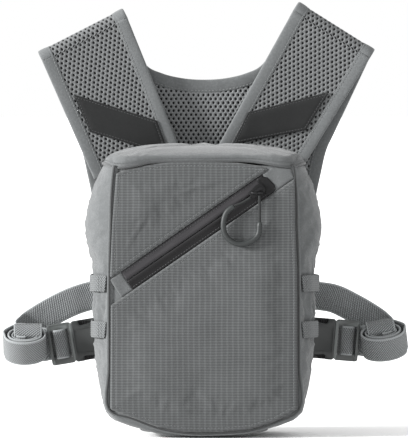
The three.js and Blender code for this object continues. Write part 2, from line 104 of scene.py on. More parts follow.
def catmull(points, n, closed=False):
    """n points at equal steps along a centripetal Catmull-Rom curve through points."""
    p = np.asarray(points, float)
    if closed:
        p = np.vstack([p[-1], p, p[0], p[1]])
    else:
        p = np.vstack([2 * p[0] - p[1], p, 2 * p[-1] - p[-2]])
    out = []
    for i in range(1, len(p) - 2):
        p0, p1, p2, p3 = p[i - 1 : i + 3]
        t = [0.0]
        for a, b in ((p0, p1), (p1, p2), (p2, p3)):
            t.append(t[-1] + max(np.linalg.norm(b - a), 1e-9) ** 0.5)
        u = np.linspace(t[1], t[2], 24, endpoint=False)[:, None]
        a1 = (t[1] - u) / (t[1] - t[0]) * p0 + (u - t[0]) / (t[1] - t[0]) * p1
        a2 = (t[2] - u) / (t[2] - t[1]) * p1 + (u - t[1]) / (t[2] - t[1]) * p2
        a3 = (t[3] - u) / (t[3] - t[2]) * p2 + (u - t[2]) / (t[3] - t[2]) * p3
        b1 = (t[2] - u) / (t[2] - t[0]) * a1 + (u - t[0]) / (t[2] - t[0]) * a2
        b2 = (t[3] - u) / (t[3] - t[1]) * a2 + (u - t[1]) / (t[3] - t[1]) * a3
        out.append((t[2] - u) / (t[2] - t[1]) * b1 + (u - t[1]) / (t[2] - t[1]) * b2)
    pts = np.vstack(out + [p[-2][None]])
    return resample(pts, n, closed)


def arc_lengths(pts):
    return np.concatenate([[0], np.cumsum(np.linalg.norm(np.diff(pts, axis=0), axis=1))])


def resample(pts, n, closed=False):
    """n points at equal steps along a polyline; a closed one's last point isn't repeated."""
    pts = np.asarray(pts, float)
    s = arc_lengths(pts)
    want = np.linspace(0, s[-1], n + 1)[:-1] if closed else np.linspace(0, s[-1], n)
    return np.stack([np.interp(want, s, pts[:, k]) for k in range(pts.shape[1])], axis=1)


def densify(pts, step, closed=False):
    """A polyline with its corners kept and its runs cut to at most step."""
    pts = [np.asarray(p, float) for p in pts]
    if closed:
        pts = pts + [pts[0]]
    out = []
    for a, b in zip(pts[:-1], pts[1:]):
        k = max(1, int(math.ceil(np.linalg.norm(b - a) / step)))
        out += [a + (b - a) * i / k for i in range(k)]
    return np.array(out if closed else out + [pts[-1]])


def smoothstep(x):
    x = np.clip(x, 0, 1)
    return x * x * (3 - 2 * x)


def unit(v):
    v = np.asarray(v, float)
    return v / np.maximum(np.linalg.norm(v, axis=-1, keepdims=True), 1e-12)


def tangents(pts, closed=False):
    if closed:
        return unit(np.roll(pts, -1, 0) - np.roll(pts, 1, 0))
    return unit(np.gradient(pts, axis=0))


def noise_at(pts, scale, seed=0.0):
    """Perlin noise, -1 to 1, at points in mm."""
    return np.array([noise.noise(Vector(p) * scale + Vector((seed, seed * 1.7, -seed))) for p in pts])


# ---------------------------------------------------------------- materials


class Nodes:
    """Short hand for building one material's node tree."""

    def __init__(self, name):
        self.mat = bpy.data.materials.new(name)
        self.mat.use_nodes = True
        self.tree = self.mat.node_tree
        self.bsdf = self.tree.nodes["Principled BSDF"]

    def new(self, kind, **inputs):
        node = self.tree.nodes.new(kind)
        for key, value in inputs.items():
            if hasattr(node, key):
                setattr(node, key, value)
            else:
                self.put(node.inputs[key.replace("_", " ")], value)
        return node

    def put(self, socket, value):
        if isinstance(value, bpy.types.NodeSocket):
            self.tree.links.new(value, socket)
        else:
            socket.default_value = value

    def math(self, operation, a, b=0.0, clamp=False):
        node = self.tree.nodes.new("ShaderNodeMath")
        node.operation = operation
        node.use_clamp = clamp
        self.put(node.inputs[0], a)
        self.put(node.inputs[1], b)
        return node.outputs[0]

    def ramp(self, value, low, high, to_low=0.0, to_high=1.0):
        node = self.tree.nodes.new("ShaderNodeMapRange")
        node.interpolation_type = "SMOOTHSTEP"
        for i, v in enumerate((value, low, high, to_low, to_high)):
            self.put(node.inputs[i], v)
        return node.outputs[0]

    def mix(self, share, a, b):
        node = self.tree.nodes.new("ShaderNodeMix")
        node.data_type = "RGBA"
        self.put(node.inputs[0], share)
        self.put(node.inputs[6], a)
        self.put(node.inputs[7], b)
        return node.outputs[2]

    def noise(self, vector, scale, detail=3.0, roughness=0.6):
        node = self.new("ShaderNodeTexNoise", Scale=scale, Detail=detail, Roughness=roughness)
        self.put(node.inputs["Vector"], vector)
        return node.outputs["Fac"]

    def place(self):
        """The object coordinates, in metres, as one socket."""
        return self.new("ShaderNodeTexCoord").outputs["Object"]

    def coords(self):
        """The three object coordinates, in metres, as separate sockets."""
        return self.split(self.place())

    def strap_coords(self):
        """Along the strap and across it, in metres."""
        node = self.new("ShaderNodeAttribute", attribute_name="strap")
        return self.split(node.outputs["Vector"])

    def split(self, vector):
        node = self.new("ShaderNodeSeparateXYZ")
        self.put(node.inputs[0], vector)
        return node.outputs[0], node.outputs[1], node.outputs[2]

    def join(self, x, y, z=0.0):
        node = self.new("ShaderNodeCombineXYZ")
        for i, v in enumerate((x, y, z)):
            self.put(node.inputs[i], v)
        return node.outputs[0]

    def wave(self, value, pitch, phase=0.0):
        """0 to 1 and back once every pitch metres."""
        turned = self.math("ADD", self.math("MULTIPLY", value, 2 * math.pi / pitch), phase)
        return self.math("ADD", self.math("MULTIPLY", self.math("SINE", turned), 0.5), 0.5)

    def finish(self, color, height=None, distance=0.0004, strength=1.0, roughness=0.85, sheen=0.0,
               **sockets):
        self.put(self.bsdf.inputs["Base Color"], color)
        self.put(self.bsdf.inputs["Roughness"], roughness)
        if sheen:
            self.bsdf.inputs["Sheen Weight"].default_value = sheen
            self.bsdf.inputs["Sheen Roughness"].default_value = 0.5
            self.bsdf.inputs["Specular IOR Level"].default_value = 0.3
        for key, value in sockets.items():
            self.bsdf.inputs[key.replace("_", " ")].default_value = value
        if height is not None:
            bump = self.new("ShaderNodeBump", Strength=strength, Distance=distance)
            self.put(bump.inputs["Height"], height)
            self.put(self.bsdf.inputs["Normal"], bump.outputs[0])
        return self.mat


def rgba(r, g, b, k=1.0):
    return (r * k, g * k, b * k, 1.0)


GREY = (0.088, 0.0925, 0.094)  # the cloth's middle grey


def plain_cloth(name, tone=1.0, pitch=0.00055, wear=True):
    """Plain weave: fine over-and-under threads, faint blotches and paler rubbed places."""
    n = Nodes(name)
    x, y, z = n.coords()
    place = n.place()
    run = n.math("ADD", x, n.math("MULTIPLY", y, 0.8))
    rise = n.math("ADD", z, n.math("MULTIPLY", y, 0.6))
    weave = n.math("MULTIPLY", n.wave(run, pitch), n.wave(rise, pitch))
    blotch = n.noise(place, 34, 4)
    grain = n.noise(place, 2600, 2)
    color = n.mix(blotch, rgba(*GREY, 0.90 * tone), rgba(*GREY, 1.10 * tone))
    color = n.mix(n.math("MULTIPLY", weave, 0.22), color, rgba(*GREY, 0.72 * tone))
    fleck = n.noise(place, 620, 3, 0.75)
    color = n.mix(n.ramp(fleck, 0.36, 0.64, 0.0, 0.5), color, rgba(*GREY, 1.22 * tone))
    color = n.mix(n.ramp(fleck, 0.50, 0.70, 0.0, 0.35), color, rgba(*GREY, 1.5 * tone))
    if wear:
        rub = n.ramp(n.noise(place, 90, 5, 0.7), 0.58, 0.74)
        color = n.mix(n.math("MULTIPLY", rub, 0.18), color, rgba(*GREY, 1.45 * tone))
    height = n.math("ADD", n.math("MULTIPLY", weave, 0.4), n.math("MULTIPLY", grain, 0.3))
    height = n.math("ADD", height, n.math("MULTIPLY", fleck, 0.9))
    rough = n.ramp(blotch, 0.3, 0.7, 0.78, 0.92)
    return n.finish(color, height, 0.0004, 0.6, rough, 0.2)


def ripstop(name):
    """Grid ripstop: a raised rib every 2.3 mm across and every 4.7 mm down, on a plain ground."""
    n = Nodes(name)
    x, _, z = n.coords()
    place = n.place()
    sway = n.math("MULTIPLY", n.math("SUBTRACT", n.noise(place, 22, 2), 0.5), 0.0016)
    zz = n.math("ADD", z, sway)
    across = n.ramp(n.wave(zz, 0.0023), 0.50, 0.92)
    down = n.ramp(n.wave(n.math("ADD", x, sway), 0.00466), 0.55, 0.95)
    grid = n.math("ADD", n.math("MULTIPLY", across, 0.62), n.math("MULTIPLY", down, 0.38))
    fine = n.math("MULTIPLY", n.wave(x, 0.00046), n.wave(z, 0.00046))
    blotch = n.noise(place, 28, 4)
    color = n.mix(blotch, rgba(*GREY, 0.38), rgba(*GREY, 0.58))
    color = n.mix(n.math("MULTIPLY", grid, 0.60), color, rgba(*GREY, 1.10))
    color = n.mix(n.math("MULTIPLY", fine, 0.15), color, rgba(*GREY, 0.25))
    height = n.math("ADD", n.math("MULTIPLY", grid, 0.8), n.math("MULTIPLY", fine, 0.2))
    rough = n.ramp(grid, 0, 1, 0.86, 0.70)
    return n.finish(color, height, 0.00028, 0.7, rough, 0.2)


def webbing_mat(name, tone=1.0):
    """Ribbed webbing: cross ribs in rows that shift row by row, and a plain selvedge down each side."""
    n = Nodes(name)
    s, t, _ = n.strap_coords()
    slant = n.math("ADD", s, n.math("MULTIPLY", t, 0.7))
    rib = n.wave(slant, 0.0019)
    cord_row = n.wave(t, 0.0017)
    edge = n.ramp(n.math("ABSOLUTE", t), 0.0104, 0.0112)
    tex = n.math("MULTIPLY", rib, n.math("ADD", n.math("MULTIPLY", cord_row, 0.45), 0.55))
    tex = n.math("MAXIMUM", tex, n.math("MULTIPLY", edge, 0.75))
    place = n.place()
    color = n.mix(n.noise(place, 60, 4), rgba(*GREY, 0.86 * tone), rgba(*GREY, 1.14 * tone))
    color = n.mix(n.ramp(tex, 0.15, 0.55, 0.72, 0.0), color, rgba(*GREY, 0.26 * tone))
    color = n.mix(n.ramp(tex, 0.55, 0.95, 0.0, 0.5), color, rgba(*GREY, 1.9 * tone))
    return n.finish(color, tex, 0.0006, 0.9, 0.82, 0.12)


def grosgrain(name, tone=1.0, pitch=0.0009, sheen=0.2):
    """Folded binding tape: fine cross ribs, faint blotches and paler flecks."""
    n = Nodes(name)
    s, _, _ = n.strap_coords()
    rib = n.wave(s, pitch)
    place = n.place()
    blotch = n.noise(place, 55, 4)
    color = n.mix(blotch, rgba(*GREY, 0.92 * tone), rgba(*GREY, 1.12 * tone))
    color = n.mix(n.math("MULTIPLY", rib, 0.22), color, rgba(*GREY, 0.70 * tone))
    fleck = n.noise(place, 560, 3, 0.75)
    color = n.mix(n.ramp(fleck, 0.42, 0.66, 0.0, 0.45), color, rgba(*GREY, 1.5 * tone))
    height = n.math("ADD", n.math("MULTIPLY", fleck, 0.6), n.math("MULTIPLY", n.noise(place, 1800, 2), 0.4))
    return n.finish(color, height, 0.0002, 0.6, 0.85, sheen)


def knit(name, color_low, color_high, bump=0.0002):
    """The mesh's own yarn: fuzzy, with little twists."""
    n = Nodes(name)
    place = n.place()
    fuzz = n.noise(place, 1500, 3)
    color = n.mix(fuzz, rgba(*color_low), rgba(*color_high))
    return n.finish(color, fuzz, bump, 0.8, 0.88, 0.25)


def coated(name, tone=1.0):
    """Zip tape under a satin film: smooth, dark, with drawn marks along it."""
    n = Nodes(name)
    s, t, _ = n.strap_coords()
    drawn = n.noise(n.join(n.math("MULTIPLY", s, 40.0), n.math("MULTIPLY", t, 900.0)), 1.0, 3)
    place = n.place()
    color = n.mix(drawn, rgba(0.003, 0.0029, 0.0032, tone), rgba(0.009, 0.0085, 0.0092, tone))
    scuff = n.ramp(n.noise(place, 700, 4, 0.7), 0.62, 0.75)
    color = n.mix(n.math("MULTIPLY", scuff, 0.2), color, rgba(0.05, 0.048, 0.05))
    return n.finish(color, drawn, 0.00012, 0.5, n.ramp(drawn, 0.3, 0.7, 0.56, 0.70), Specular_IOR_Level=0.2)


def moulded(name, color=(0.0145, 0.0165, 0.0162), gloss=0.40, specular=0.45):
    """Acetal moulding: fine spark texture, faint scratches, and edges painted paler, partly as wear and
    partly as a painted highlight.
    """
    n = Nodes(name)
    place = n.place()
    spark = n.noise(place, 3200, 2)
    patch = n.noise(place, 140, 4)
    scratch = n.ramp(n.noise(n.new("ShaderNodeMapping", Vector=place, Scale=(90, 90, 1600)).outputs[0], 1,
                             4), 0.66, 0.72)
    color_out = n.mix(patch, rgba(*color, 0.85), rgba(*color, 1.25))
    color_out = n.mix(n.math("MULTIPLY", scratch, 0.35), color_out, rgba(*color, 2.2))
    # edges painted paler by pointiness: a painted highlight where edges catch the light, and some wear
    edge_wear_and_highlight = n.new("ShaderNodeNewGeometry").outputs["Pointiness"]
    color_out = n.mix(n.ramp(edge_wear_and_highlight, 0.52, 0.60, 0.0, 0.6), color_out, rgba(*color, 3.6))
    rough = n.ramp(patch, 0.3, 0.7, gloss - 0.06, gloss + 0.08)
    return n.finish(color_out, spark, 0.00006, 0.35, rough, Specular_IOR_Level=specular)


def thread_mat(name, color):
    n = Nodes(name)
    place = n.place()
    twist = n.noise(place, 3000, 2)
    return n.finish(n.mix(twist, rgba(*color, 0.8), rgba(*color, 1.2)), twist, 0.0001, 0.6, 0.75, 0.03)


MAT = {
    "cloth": plain_cloth("cloth", 0.86),
    "lining": plain_cloth("lining", 0.55, 0.0007, False),
    "facing": plain_cloth("facing", 0.80, 0.0005),
    "ripstop": ripstop("ripstop"),
    # the side strap's webbing and its rolled tail are one webbing in two tones, each set to how bright that
    # place looks under the light: painted light and shade
    "webbing": webbing_mat("webbing", 2.5),
    "webbing_loop": webbing_mat("webbing_loop", 1.3),
    "webbing_pale": webbing_mat("webbing_pale", 1.95),
    "tape": grosgrain("tape"),
    "mesh": knit("mesh", (0.070, 0.073, 0.074), (0.126, 0.130, 0.132)),
    # a lighter copy of the mesh yarn: painted light on the yoke's front face, which lies in shade behind
    # the straps
    "mesh_rear": knit("mesh_rear", (0.098, 0.102, 0.104), (0.176, 0.182, 0.185)),
    # near-black yarn for the sheet between the net's two faces: painted shade for the inside of the spacer
    # mesh
    "mesh_core": knit("mesh_core", (0.006, 0.006, 0.007), (0.013, 0.013, 0.014)),
    "band": grosgrain("band", 0.09, 0.0006, 0.01),
    "coated": coated("coated"),
    # a lighter copy of the zip tape: painted light, for the upper tape that faces up to the light
    "coated_worn": coated("coated_worn", 3.6),
    "plastic": moulded("plastic"),
    "plug_plastic": moulded("plug_plastic", (0.040, 0.044, 0.043), 0.38, 0.5),
    "sleeve": moulded("sleeve", (0.016, 0.018, 0.018), 0.50, 0.32),
    # piping cloth darkened far below the panel's: painted shade for the dark line where panel and gusset
    # meet
    "piping": plain_cloth("piping", 0.22, 0.0005, False),
    "black_plastic": moulded("black_plastic", (0.0025, 0.0025, 0.0028), 0.5, 0.22),
    "thread": thread_mat("thread", (0.155, 0.160, 0.160)),
    "seam_thread": thread_mat("seam_thread", (0.105, 0.110, 0.111)),
    "dark_thread": thread_mat("dark_thread", (0.055, 0.057, 0.058)),
    "cord": thread_mat("cord", (0.008, 0.009, 0.009)),
}

# ---------------------------------------------------------------- mesh makers


def linked(name, data):
    """A new object in the scene."""
    obj = bpy.data.objects.new(name, data)
    bpy.context.scene.collection.objects.link(obj)
    return obj


def settle_normals(mesh, merge=0.0):
    """Turns every face outwards, after joining points closer than merge metres."""
    bm = bmesh.new()
    bm.from_mesh(mesh)
    if merge:
        bmesh.ops.remove_doubles(bm, verts=bm.verts, dist=merge)
    bmesh.ops.recalc_face_normals(bm, faces=bm.faces)
    bm.to_mesh(mesh)
    bm.free()


def ring_faces(count, n, first=0, flip=False, closed=False):
    """Quads between count rings of n points each, from vertex first on."""
    faces = []
    for i in range(count if closed else count - 1):
        a, b = first + i * n, first + (i + 1) % count * n
        for j in range(n):
            k = (j + 1) % n
            faces.append((a + j, b + j, b + k, a + k) if flip else (a + j, a + k, b + k, b + j))
    return faces


def end_caps(count, n, first=0):
    """The two end faces of a row of rings."""
    last = first + (count - 1) * n
    return [tuple(range(first, first + n))[::-1], tuple(range(last, last + n))]


def piece(name, verts, faces, mat, body, replaces=(), smooth=True, attrs=None, tidy=True):
    """A mesh object in metres from vertices in mm, riding on a body."""
    mesh = bpy.data.meshes.new(name)
    mesh.from_pydata((np.asarray(verts, float) * MM).tolist(), [], faces)
    for key, values in (attrs or {}).items():
        made = mesh.attributes.new(key, "FLOAT_VECTOR", "POINT")
        made.data.foreach_set("vector", np.asarray(values, np.float32).ravel() * np.float32(MM))
    if tidy:
        settle_normals(mesh)
    mesh.polygons.foreach_set("use_smooth", [smooth] * len(mesh.polygons))
    for m in mat if isinstance(mat, (list, tuple)) else [mat]:
        mesh.materials.append(MAT[m])
    obj = linked(name, mesh)
    if body:
        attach(obj, body)
    if replaces:
        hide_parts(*replaces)
    return obj


def sweep(centres, sides, outs, section, closed=False):
    """A closed section of (across, out) rows, one set or one per centre, carried along the centres."""
    centres, sides, outs = (np.asarray(a, float) for a in (centres, sides, outs))
    section = np.asarray(section, float)
    n = len(centres)
    if section.ndim == 2:
        section = np.repeat(section[None], n, 0)
    k = section.shape[1]
    verts = centres[:, None] + sides[:, None] * section[:, :, :1] + outs[:, None] * section[:, :, 1:2]
    faces = ring_faces(n, k, closed=closed)
    if not closed:
        faces += end_caps(n, k)
    s = arc_lengths(centres)
    strap = np.zeros((n, k, 3))
    strap[:, :, 0] = s[:, None]
    strap[:, :, 1] = section[:, :, 0]
    return verts.reshape(-1, 3), faces, strap.reshape(-1, 3)


def flat_section(width, thick, cells=6, edge=0.5):
    """A flat strap's section with rounded edges, as (across, out) rows."""
    w, t = width / 2, thick / 2
    xs = np.linspace(-w + edge, w - edge, cells + 1)
    top = [(x, t) for x in xs]
    right = [(w - edge * 0.3, t * 0.8), (w, t * 0.25), (w, -t * 0.25), (w - edge * 0.3, -t * 0.8)]
    bottom = [(x, -t) for x in xs[::-1]]
    left = [(-w + edge * 0.3, -t * 0.8), (-w, -t * 0.25), (-w, t * 0.25), (-w + edge * 0.3, t * 0.8)]
    return top + right + bottom + left


def strap(name, centres, sides, width, thick, mat, body, slot, replaces=(), cells=6):
    centres = np.asarray(centres, float)
    t = tangents(centres)
    sides = np.broadcast_to(np.asarray(sides, float), centres.shape)
    sides = unit(sides - (sides * t).sum(1, keepdims=True) * t)
    outs = np.cross(t, sides)
    verts, faces, attr = sweep(centres, sides, outs, flat_section(width, thick, cells))
    return piece(name, verts, faces, mat, body, replaces, attrs={"strap": attr})


def tube(name, centres, radius, mat, body, replaces=(), sides=10, closed=False):
    centres = np.asarray(centres, float)
    t = tangents(centres, closed)
    ref = np.array([0, 1, 0.0]) if abs(t[0][1]) < 0.9 else np.array([1, 0, 0.0])
    side = unit(np.cross(t, ref))
    out = np.cross(t, side)
    a = np.linspace(0, 2 * math.pi, sides, endpoint=False)
    radius = np.broadcast_to(radius, len(centres))
    ring = np.stack([np.cos(a), np.sin(a)], 1)[None] * np.asarray(radius)[:, None, None]
    verts, faces, attr = sweep(centres, side, out, ring, closed)
    return piece(name, verts, faces, mat, body, replaces, attrs={"strap": attr})


def stitches(name, paths, body, mat="thread", pitch=3.2, length=2.3, radius=0.30):
    """Sewn lines: paths holds (points, outward direction) pairs, each stitch a small bowed thread."""
    sides, rings = 6, 5
    a = np.linspace(0, 2 * math.pi, sides, endpoint=False)
    u = np.linspace(-1, 1, rings)
    swell = np.sqrt(np.maximum(1 - u**4, 0.06))
    verts, faces, base = [], [], 0
    shell = ring_faces(rings, sides) + end_caps(rings, sides)
    for points, out in paths:
        pts = np.asarray(points, float)
        s = arc_lengths(pts)
        at = np.arange(pitch / 2, s[-1] - pitch / 4, pitch)
        if not len(at):
            continue
        out = np.broadcast_to(np.asarray(out, float), pts.shape)
        for c in at:
            span = [np.interp(c + d, s, pts[:, k]) for k in range(3) for d in (-length / 2, length / 2)]
            p0, p1 = np.array(span[0::2]), np.array(span[1::2])
            o = unit(np.array([np.interp(c, s, out[:, k]) for k in range(3)]))
            t = unit(p1 - p0)
            b = np.cross(t, o)
            for k in range(rings):
                centre = p0 + (p1 - p0) * (u[k] + 1) / 2 + o * radius * (0.55 - 0.9 * u[k] ** 2)
                ring = np.cos(a)[:, None] * b + np.sin(a)[:, None] * o * 0.9
                verts.append(centre + ring * radius * swell[k])
            faces += [tuple(base + i for i in q) for q in shell]
            base += sides * rings
    return piece(name, np.vstack(verts), faces, mat, body, tidy=False)


def polygon_distance(points, outline):
    """Distance from each point to a closed outline."""
    a = np.asarray(outline, float)
    b = np.roll(a, -1, 0)
    best = np.full(len(points), 1e9)
    for p, q in zip(a, b):
        d = q - p
        t = np.clip(((points - p) @ d) / max(d @ d, 1e-12), 0, 1)
        best = np.minimum(best, np.linalg.norm(points - (p + t[:, None] * d), axis=1))
    return best


def inside(points, outline):
    a = np.asarray(outline, float)
    b = np.roll(a, -1, 0)
    x, y = points[:, 0], points[:, 1]
    hit = np.zeros(len(points), bool)
    for (x0, y0), (x1, y1) in zip(a, b):
        cross = (y0 > y) != (y1 > y)
        with np.errstate(divide="ignore", invalid="ignore"):
            hit ^= cross & (x < (x1 - x0) * (y - y0) / (y1 - y0) + x0)
    return hit


def rounded(outline, radius, step=1.5):
    """A closed outline with its corners rounded."""
    pts = [np.asarray(p, float) for p in outline]
    out = []
    for i, p in enumerate(pts):
        before, after = pts[i - 1], pts[(i + 1) % len(pts)]
        u, v = unit(before - p), unit(after - p)
        angle = math.acos(np.clip(u @ v, -1, 1))
        cut = min(radius / max(math.tan(angle / 2), 1e-3),
                  0.45 * min(np.linalg.norm(before - p), np.linalg.norm(after - p)))
        for k in range(5):
            w = k / 4
            out.append((1 - w) ** 2 * (p + u * cut) + 2 * w * (1 - w) * p + w**2 * (p + v * cut))
    return densify(out, step, True)


def signed_area(outline):
    a = np.asarray(outline, float)
    return 0.5 * np.sum(a[:, 0] * np.roll(a[:, 1], -1) - np.roll(a[:, 0], -1) * a[:, 1])


def inset(outline, distance):
    """A closed outline moved inwards."""
    a = np.asarray(outline, float)
    t = unit(np.roll(a, -1, 0) - np.roll(a, 1, 0))
    normal = np.stack([-t[:, 1], t[:, 0]], 1) * (1 if signed_area(a) > 0 else -1)
    return a + normal * distance


def seam_inside(outline, distance):
    """A closed sewn line, distance in from an outline."""
    seam = inset(outline, distance)
    return np.vstack([seam, seam[:1]])


def fill(outline, spacing, rings=(0.6, 1.4, 2.6)):
    """(points, triangles) over a closed outline, with rings of points close to its edge."""
    outline = np.asarray(outline, float)
    bands = [outline] + [inset(outline, d) for d in rings]
    low, high = outline.min(0), outline.max(0)
    xs = np.arange(low[0], high[0], spacing)
    grid = np.array([(x + (spacing / 2 if j % 2 else 0), y) for j,
                     y in enumerate(np.arange(low[1], high[1], spacing * 0.866)) for x in xs])
    grid = grid[inside(grid, outline)]
    grid = grid[polygon_distance(grid, outline) > rings[-1] + spacing * 0.55]
    ring_points = []
    for d, band in zip(rings, bands[1:]):
        ok = inside(band, outline) & (polygon_distance(band, outline) > d * 0.7)
        ring_points.append(band[ok])
    points = np.vstack([outline] + ring_points + [grid])
    n = len(outline)
    edges = [(i, (i + 1) % n) for i in range(n)]
    made = geometry.delaunay_2d_cdt([Vector(p) for p in points], edges, [], 1, 1e-5)
    pts = np.array([tuple(v) for v in made[0]])
    return pts, [tuple(f) for f in made[2]]


def boundary_loop(faces):
    """The edges that only one triangle has, in face direction."""
    seen = {}
    for f in faces:
        for i in range(len(f)):
            e = (f[i], f[(i + 1) % len(f)])
            seen[e] = True
    return [e for e in seen if (e[1], e[0]) not in seen]


def two_sided(faces, n):
    """Faces of a closed sheet: one copy in front, one n points later behind, and its edge."""
    back = [tuple(n + i for i in f[::-1]) for f in faces]
    return list(faces) + back + [(b, a, n + a, n + b) for a, b in boundary_loop(faces)]


def pillow(name, outline, spacing, height, back, mat, body, replaces=(), front=-1,
           rings=(0.6, 1.4, 2.6)):
    """A closed pad over an outline of (x, z). height(x, z, d) is how far it stands out from y = back."""
    pts, tris = fill(outline, spacing, rings)
    d = polygon_distance(pts, outline)
    y = back + front * height(pts[:, 0], pts[:, 1], d)
    top = np.stack([pts[:, 0], y, pts[:, 1]], 1)
    under = np.stack([pts[:, 0], np.full(len(pts), back), pts[:, 1]], 1)
    faces = two_sided(tris, len(pts))
    strap_attr = np.vstack([np.stack([pts[:, 0], pts[:, 1], d], 1)] * 2)
    return piece(name, np.vstack([top, under]), faces, mat, body, replaces,
                 attrs={"strap": strap_attr})


def add_modifier(obj, kind, **settings):
    mod = obj.modifiers.new(kind.lower(), kind)
    for key, value in settings.items():
        setattr(mod, key, value)
    return mod


def apply_all(obj):
    """Bakes an object's modifiers into its mesh, keeping its materials."""
    dg = bpy.context.evaluated_depsgraph_get()
    made = bpy.data.meshes.new_from_object(obj.evaluated_get(dg), preserve_all_data_layers=True,
                                           depsgraph=dg)
    obj.modifiers.clear()
    old = obj.data
    obj.data = made
    bpy.data.meshes.remove(old)
    return obj


def relax(obj, loose, grow, travel, pressure=1.5, frames=20, bending=0.6):
    """Cloth simulation of the loose points. The cloth is cut a little large, so it buckles into creases.

    loose is a row of 0 to 1 per vertex; no point moves further than travel millimetres.
    """
    mesh = obj.data
    rest = np.empty(len(mesh.vertices) * 3)
    mesh.vertices.foreach_get("co", rest)
    rest = rest.reshape(-1, 3)
    group = obj.vertex_groups.new(name="pin")
    for level in range(11):
        at = np.nonzero(np.rint(np.clip(1 - loose, 0, 1) * 10) == level)[0]
        if level and len(at):
            group.add(at.tolist(), level / 10, "REPLACE")
    cloth = add_modifier(obj, "CLOTH")
    cloth.settings.quality = 6
    cloth.settings.mass = 0.15
    cloth.settings.bending_stiffness = bending
    cloth.settings.shrink_min = -grow
    cloth.settings.vertex_group_mass = "pin"
    cloth.settings.use_pressure = True
    cloth.settings.uniform_pressure_force = pressure
    cloth.settings.effector_weights.gravity = 0
    cloth.collision_settings.use_collision = False
    for step in range(1, frames + 1):
        bpy.context.scene.frame_set(step)
    made = obj.evaluated_get(bpy.context.evaluated_depsgraph_get()).to_mesh()
    moved = np.empty(len(rest) * 3)
    made.vertices.foreach_get("co", moved)
    offset = moved.reshape(-1, 3) - rest
    far = np.linalg.norm(offset, axis=1, keepdims=True)
    limit = travel * MM
    offset *= limit * np.tanh(far / limit) / np.maximum(far, 1e-12)
    offset *= np.clip(loose, 0, 1)[:, None]
    obj.evaluated_get(bpy.context.evaluated_depsgraph_get()).to_mesh_clear()
    obj.modifiers.clear()
    obj.vertex_groups.clear()
    bpy.context.scene.frame_set(1)
    mesh.vertices.foreach_set("co", (rest + offset).ravel())
    mesh.update()


def verts_of(obj):
    """An object's vertices, in mm."""
    co = np.empty(len(obj.data.vertices) * 3)
    obj.data.vertices.foreach_get("co", co)
    return co.reshape(-1, 3) / MM


# ---------------------------------------------------------------- camera and cords

CAMERA_AT = Vector((0, 0, 0.18275))
CAMERA_DISTANCE = 5.0
CAMERA_ELEVATION = math.radians(1.5)
VIEW_HEIGHT = 372.3 * MM  # what the picture takes in at the front face, top to bottom


def make_camera():
    data = bpy.data.cameras.new("camera")
    data.sensor_width = 36
    data.lens = 36 * CAMERA_DISTANCE / VIEW_HEIGHT
    data.clip_start, data.clip_end = 0.1, 100
    obj = linked("camera", data)
    back = Vector((0, -math.cos(CAMERA_ELEVATION), math.sin(CAMERA_ELEVATION)))
    obj.location = CAMERA_AT + back * CAMERA_DISTANCE
    obj.rotation_euler = (-back).to_track_quat("-Z", "Y").to_euler()
    bpy.context.scene.camera = obj


make_camera()


def pull_route():
    """The pull's centreline, as the CAD has it, in mm."""
    return catmull([(x, BAIL[1], z) for x, z in PULL_LOOP], 90)


def make_pull():
    route = pull_route()
    s = arc_lengths(route)
    total = s[-1]
    cord_obj = tube("zip_pull_cord_loop", route, CORD_RADIUS, "cord", "zip_pull",
                    ["zip_pull_cord"], 12)
    keep = (s >= SLEEVE_FROM * total) & (s <= SLEEVE_TO * total)
    line = resample(route[keep], 80)
    u = np.linspace(0, 1, 80)
    taper = np.minimum(1, np.minimum(u, 1 - u) / 0.035)
    radius = 1.45 + 0.85 * np.sqrt(np.clip(taper, 0, 1))
    sleeve = tube("zip_pull_grip", line, radius, "sleeve", "zip_pull",
                  ["zip_pull_sleeve"], 16)


make_pull()

# ---------------------------------------------------------------- pouch

BODY_CURVE = smooth_rows(BODY_PROFILE)
FACE_CURVE = smooth_rows(FACE_PROFILE)


def body_width(z):
    return float(np.interp(z, BODY_CURVE[:, 0], BODY_CURVE[:, 1]))


def face_width(z):
    return min(float(np.interp(z, FACE_CURVE[:, 0], FACE_CURVE[:, 1])), body_width(z) - 2)


def plan_ring(z, n=200, inset_by=0.0):
    """The pouch's outline at height z as n (x, y) points, anticlockwise from the middle of the back."""
    wide, face = body_width(z) - inset_by, face_width(z) - inset_by
    low = max(0.0, 1 - z / 9.0)
    front = FRONT_Y + inset_by + 8 * low**2
    back = BACK_Y - inset_by - 8 * low**2
    right = [
        (wide * 0.35, back), (wide - 20, back), (wide - 12, back - 5), (wide - 6, 30), (wide - 1.5, 12),
        (wide, -10), (face + (wide - face) * 0.62, front + 14), (face + 0.4, front + 3.4),
        (face - 3, front),
        (face * 0.5, front),
    ]
    left = [(-x, y) for x, y in right[::-1]]
    return catmull(np.array([(0, back)] + right + left), n, True)


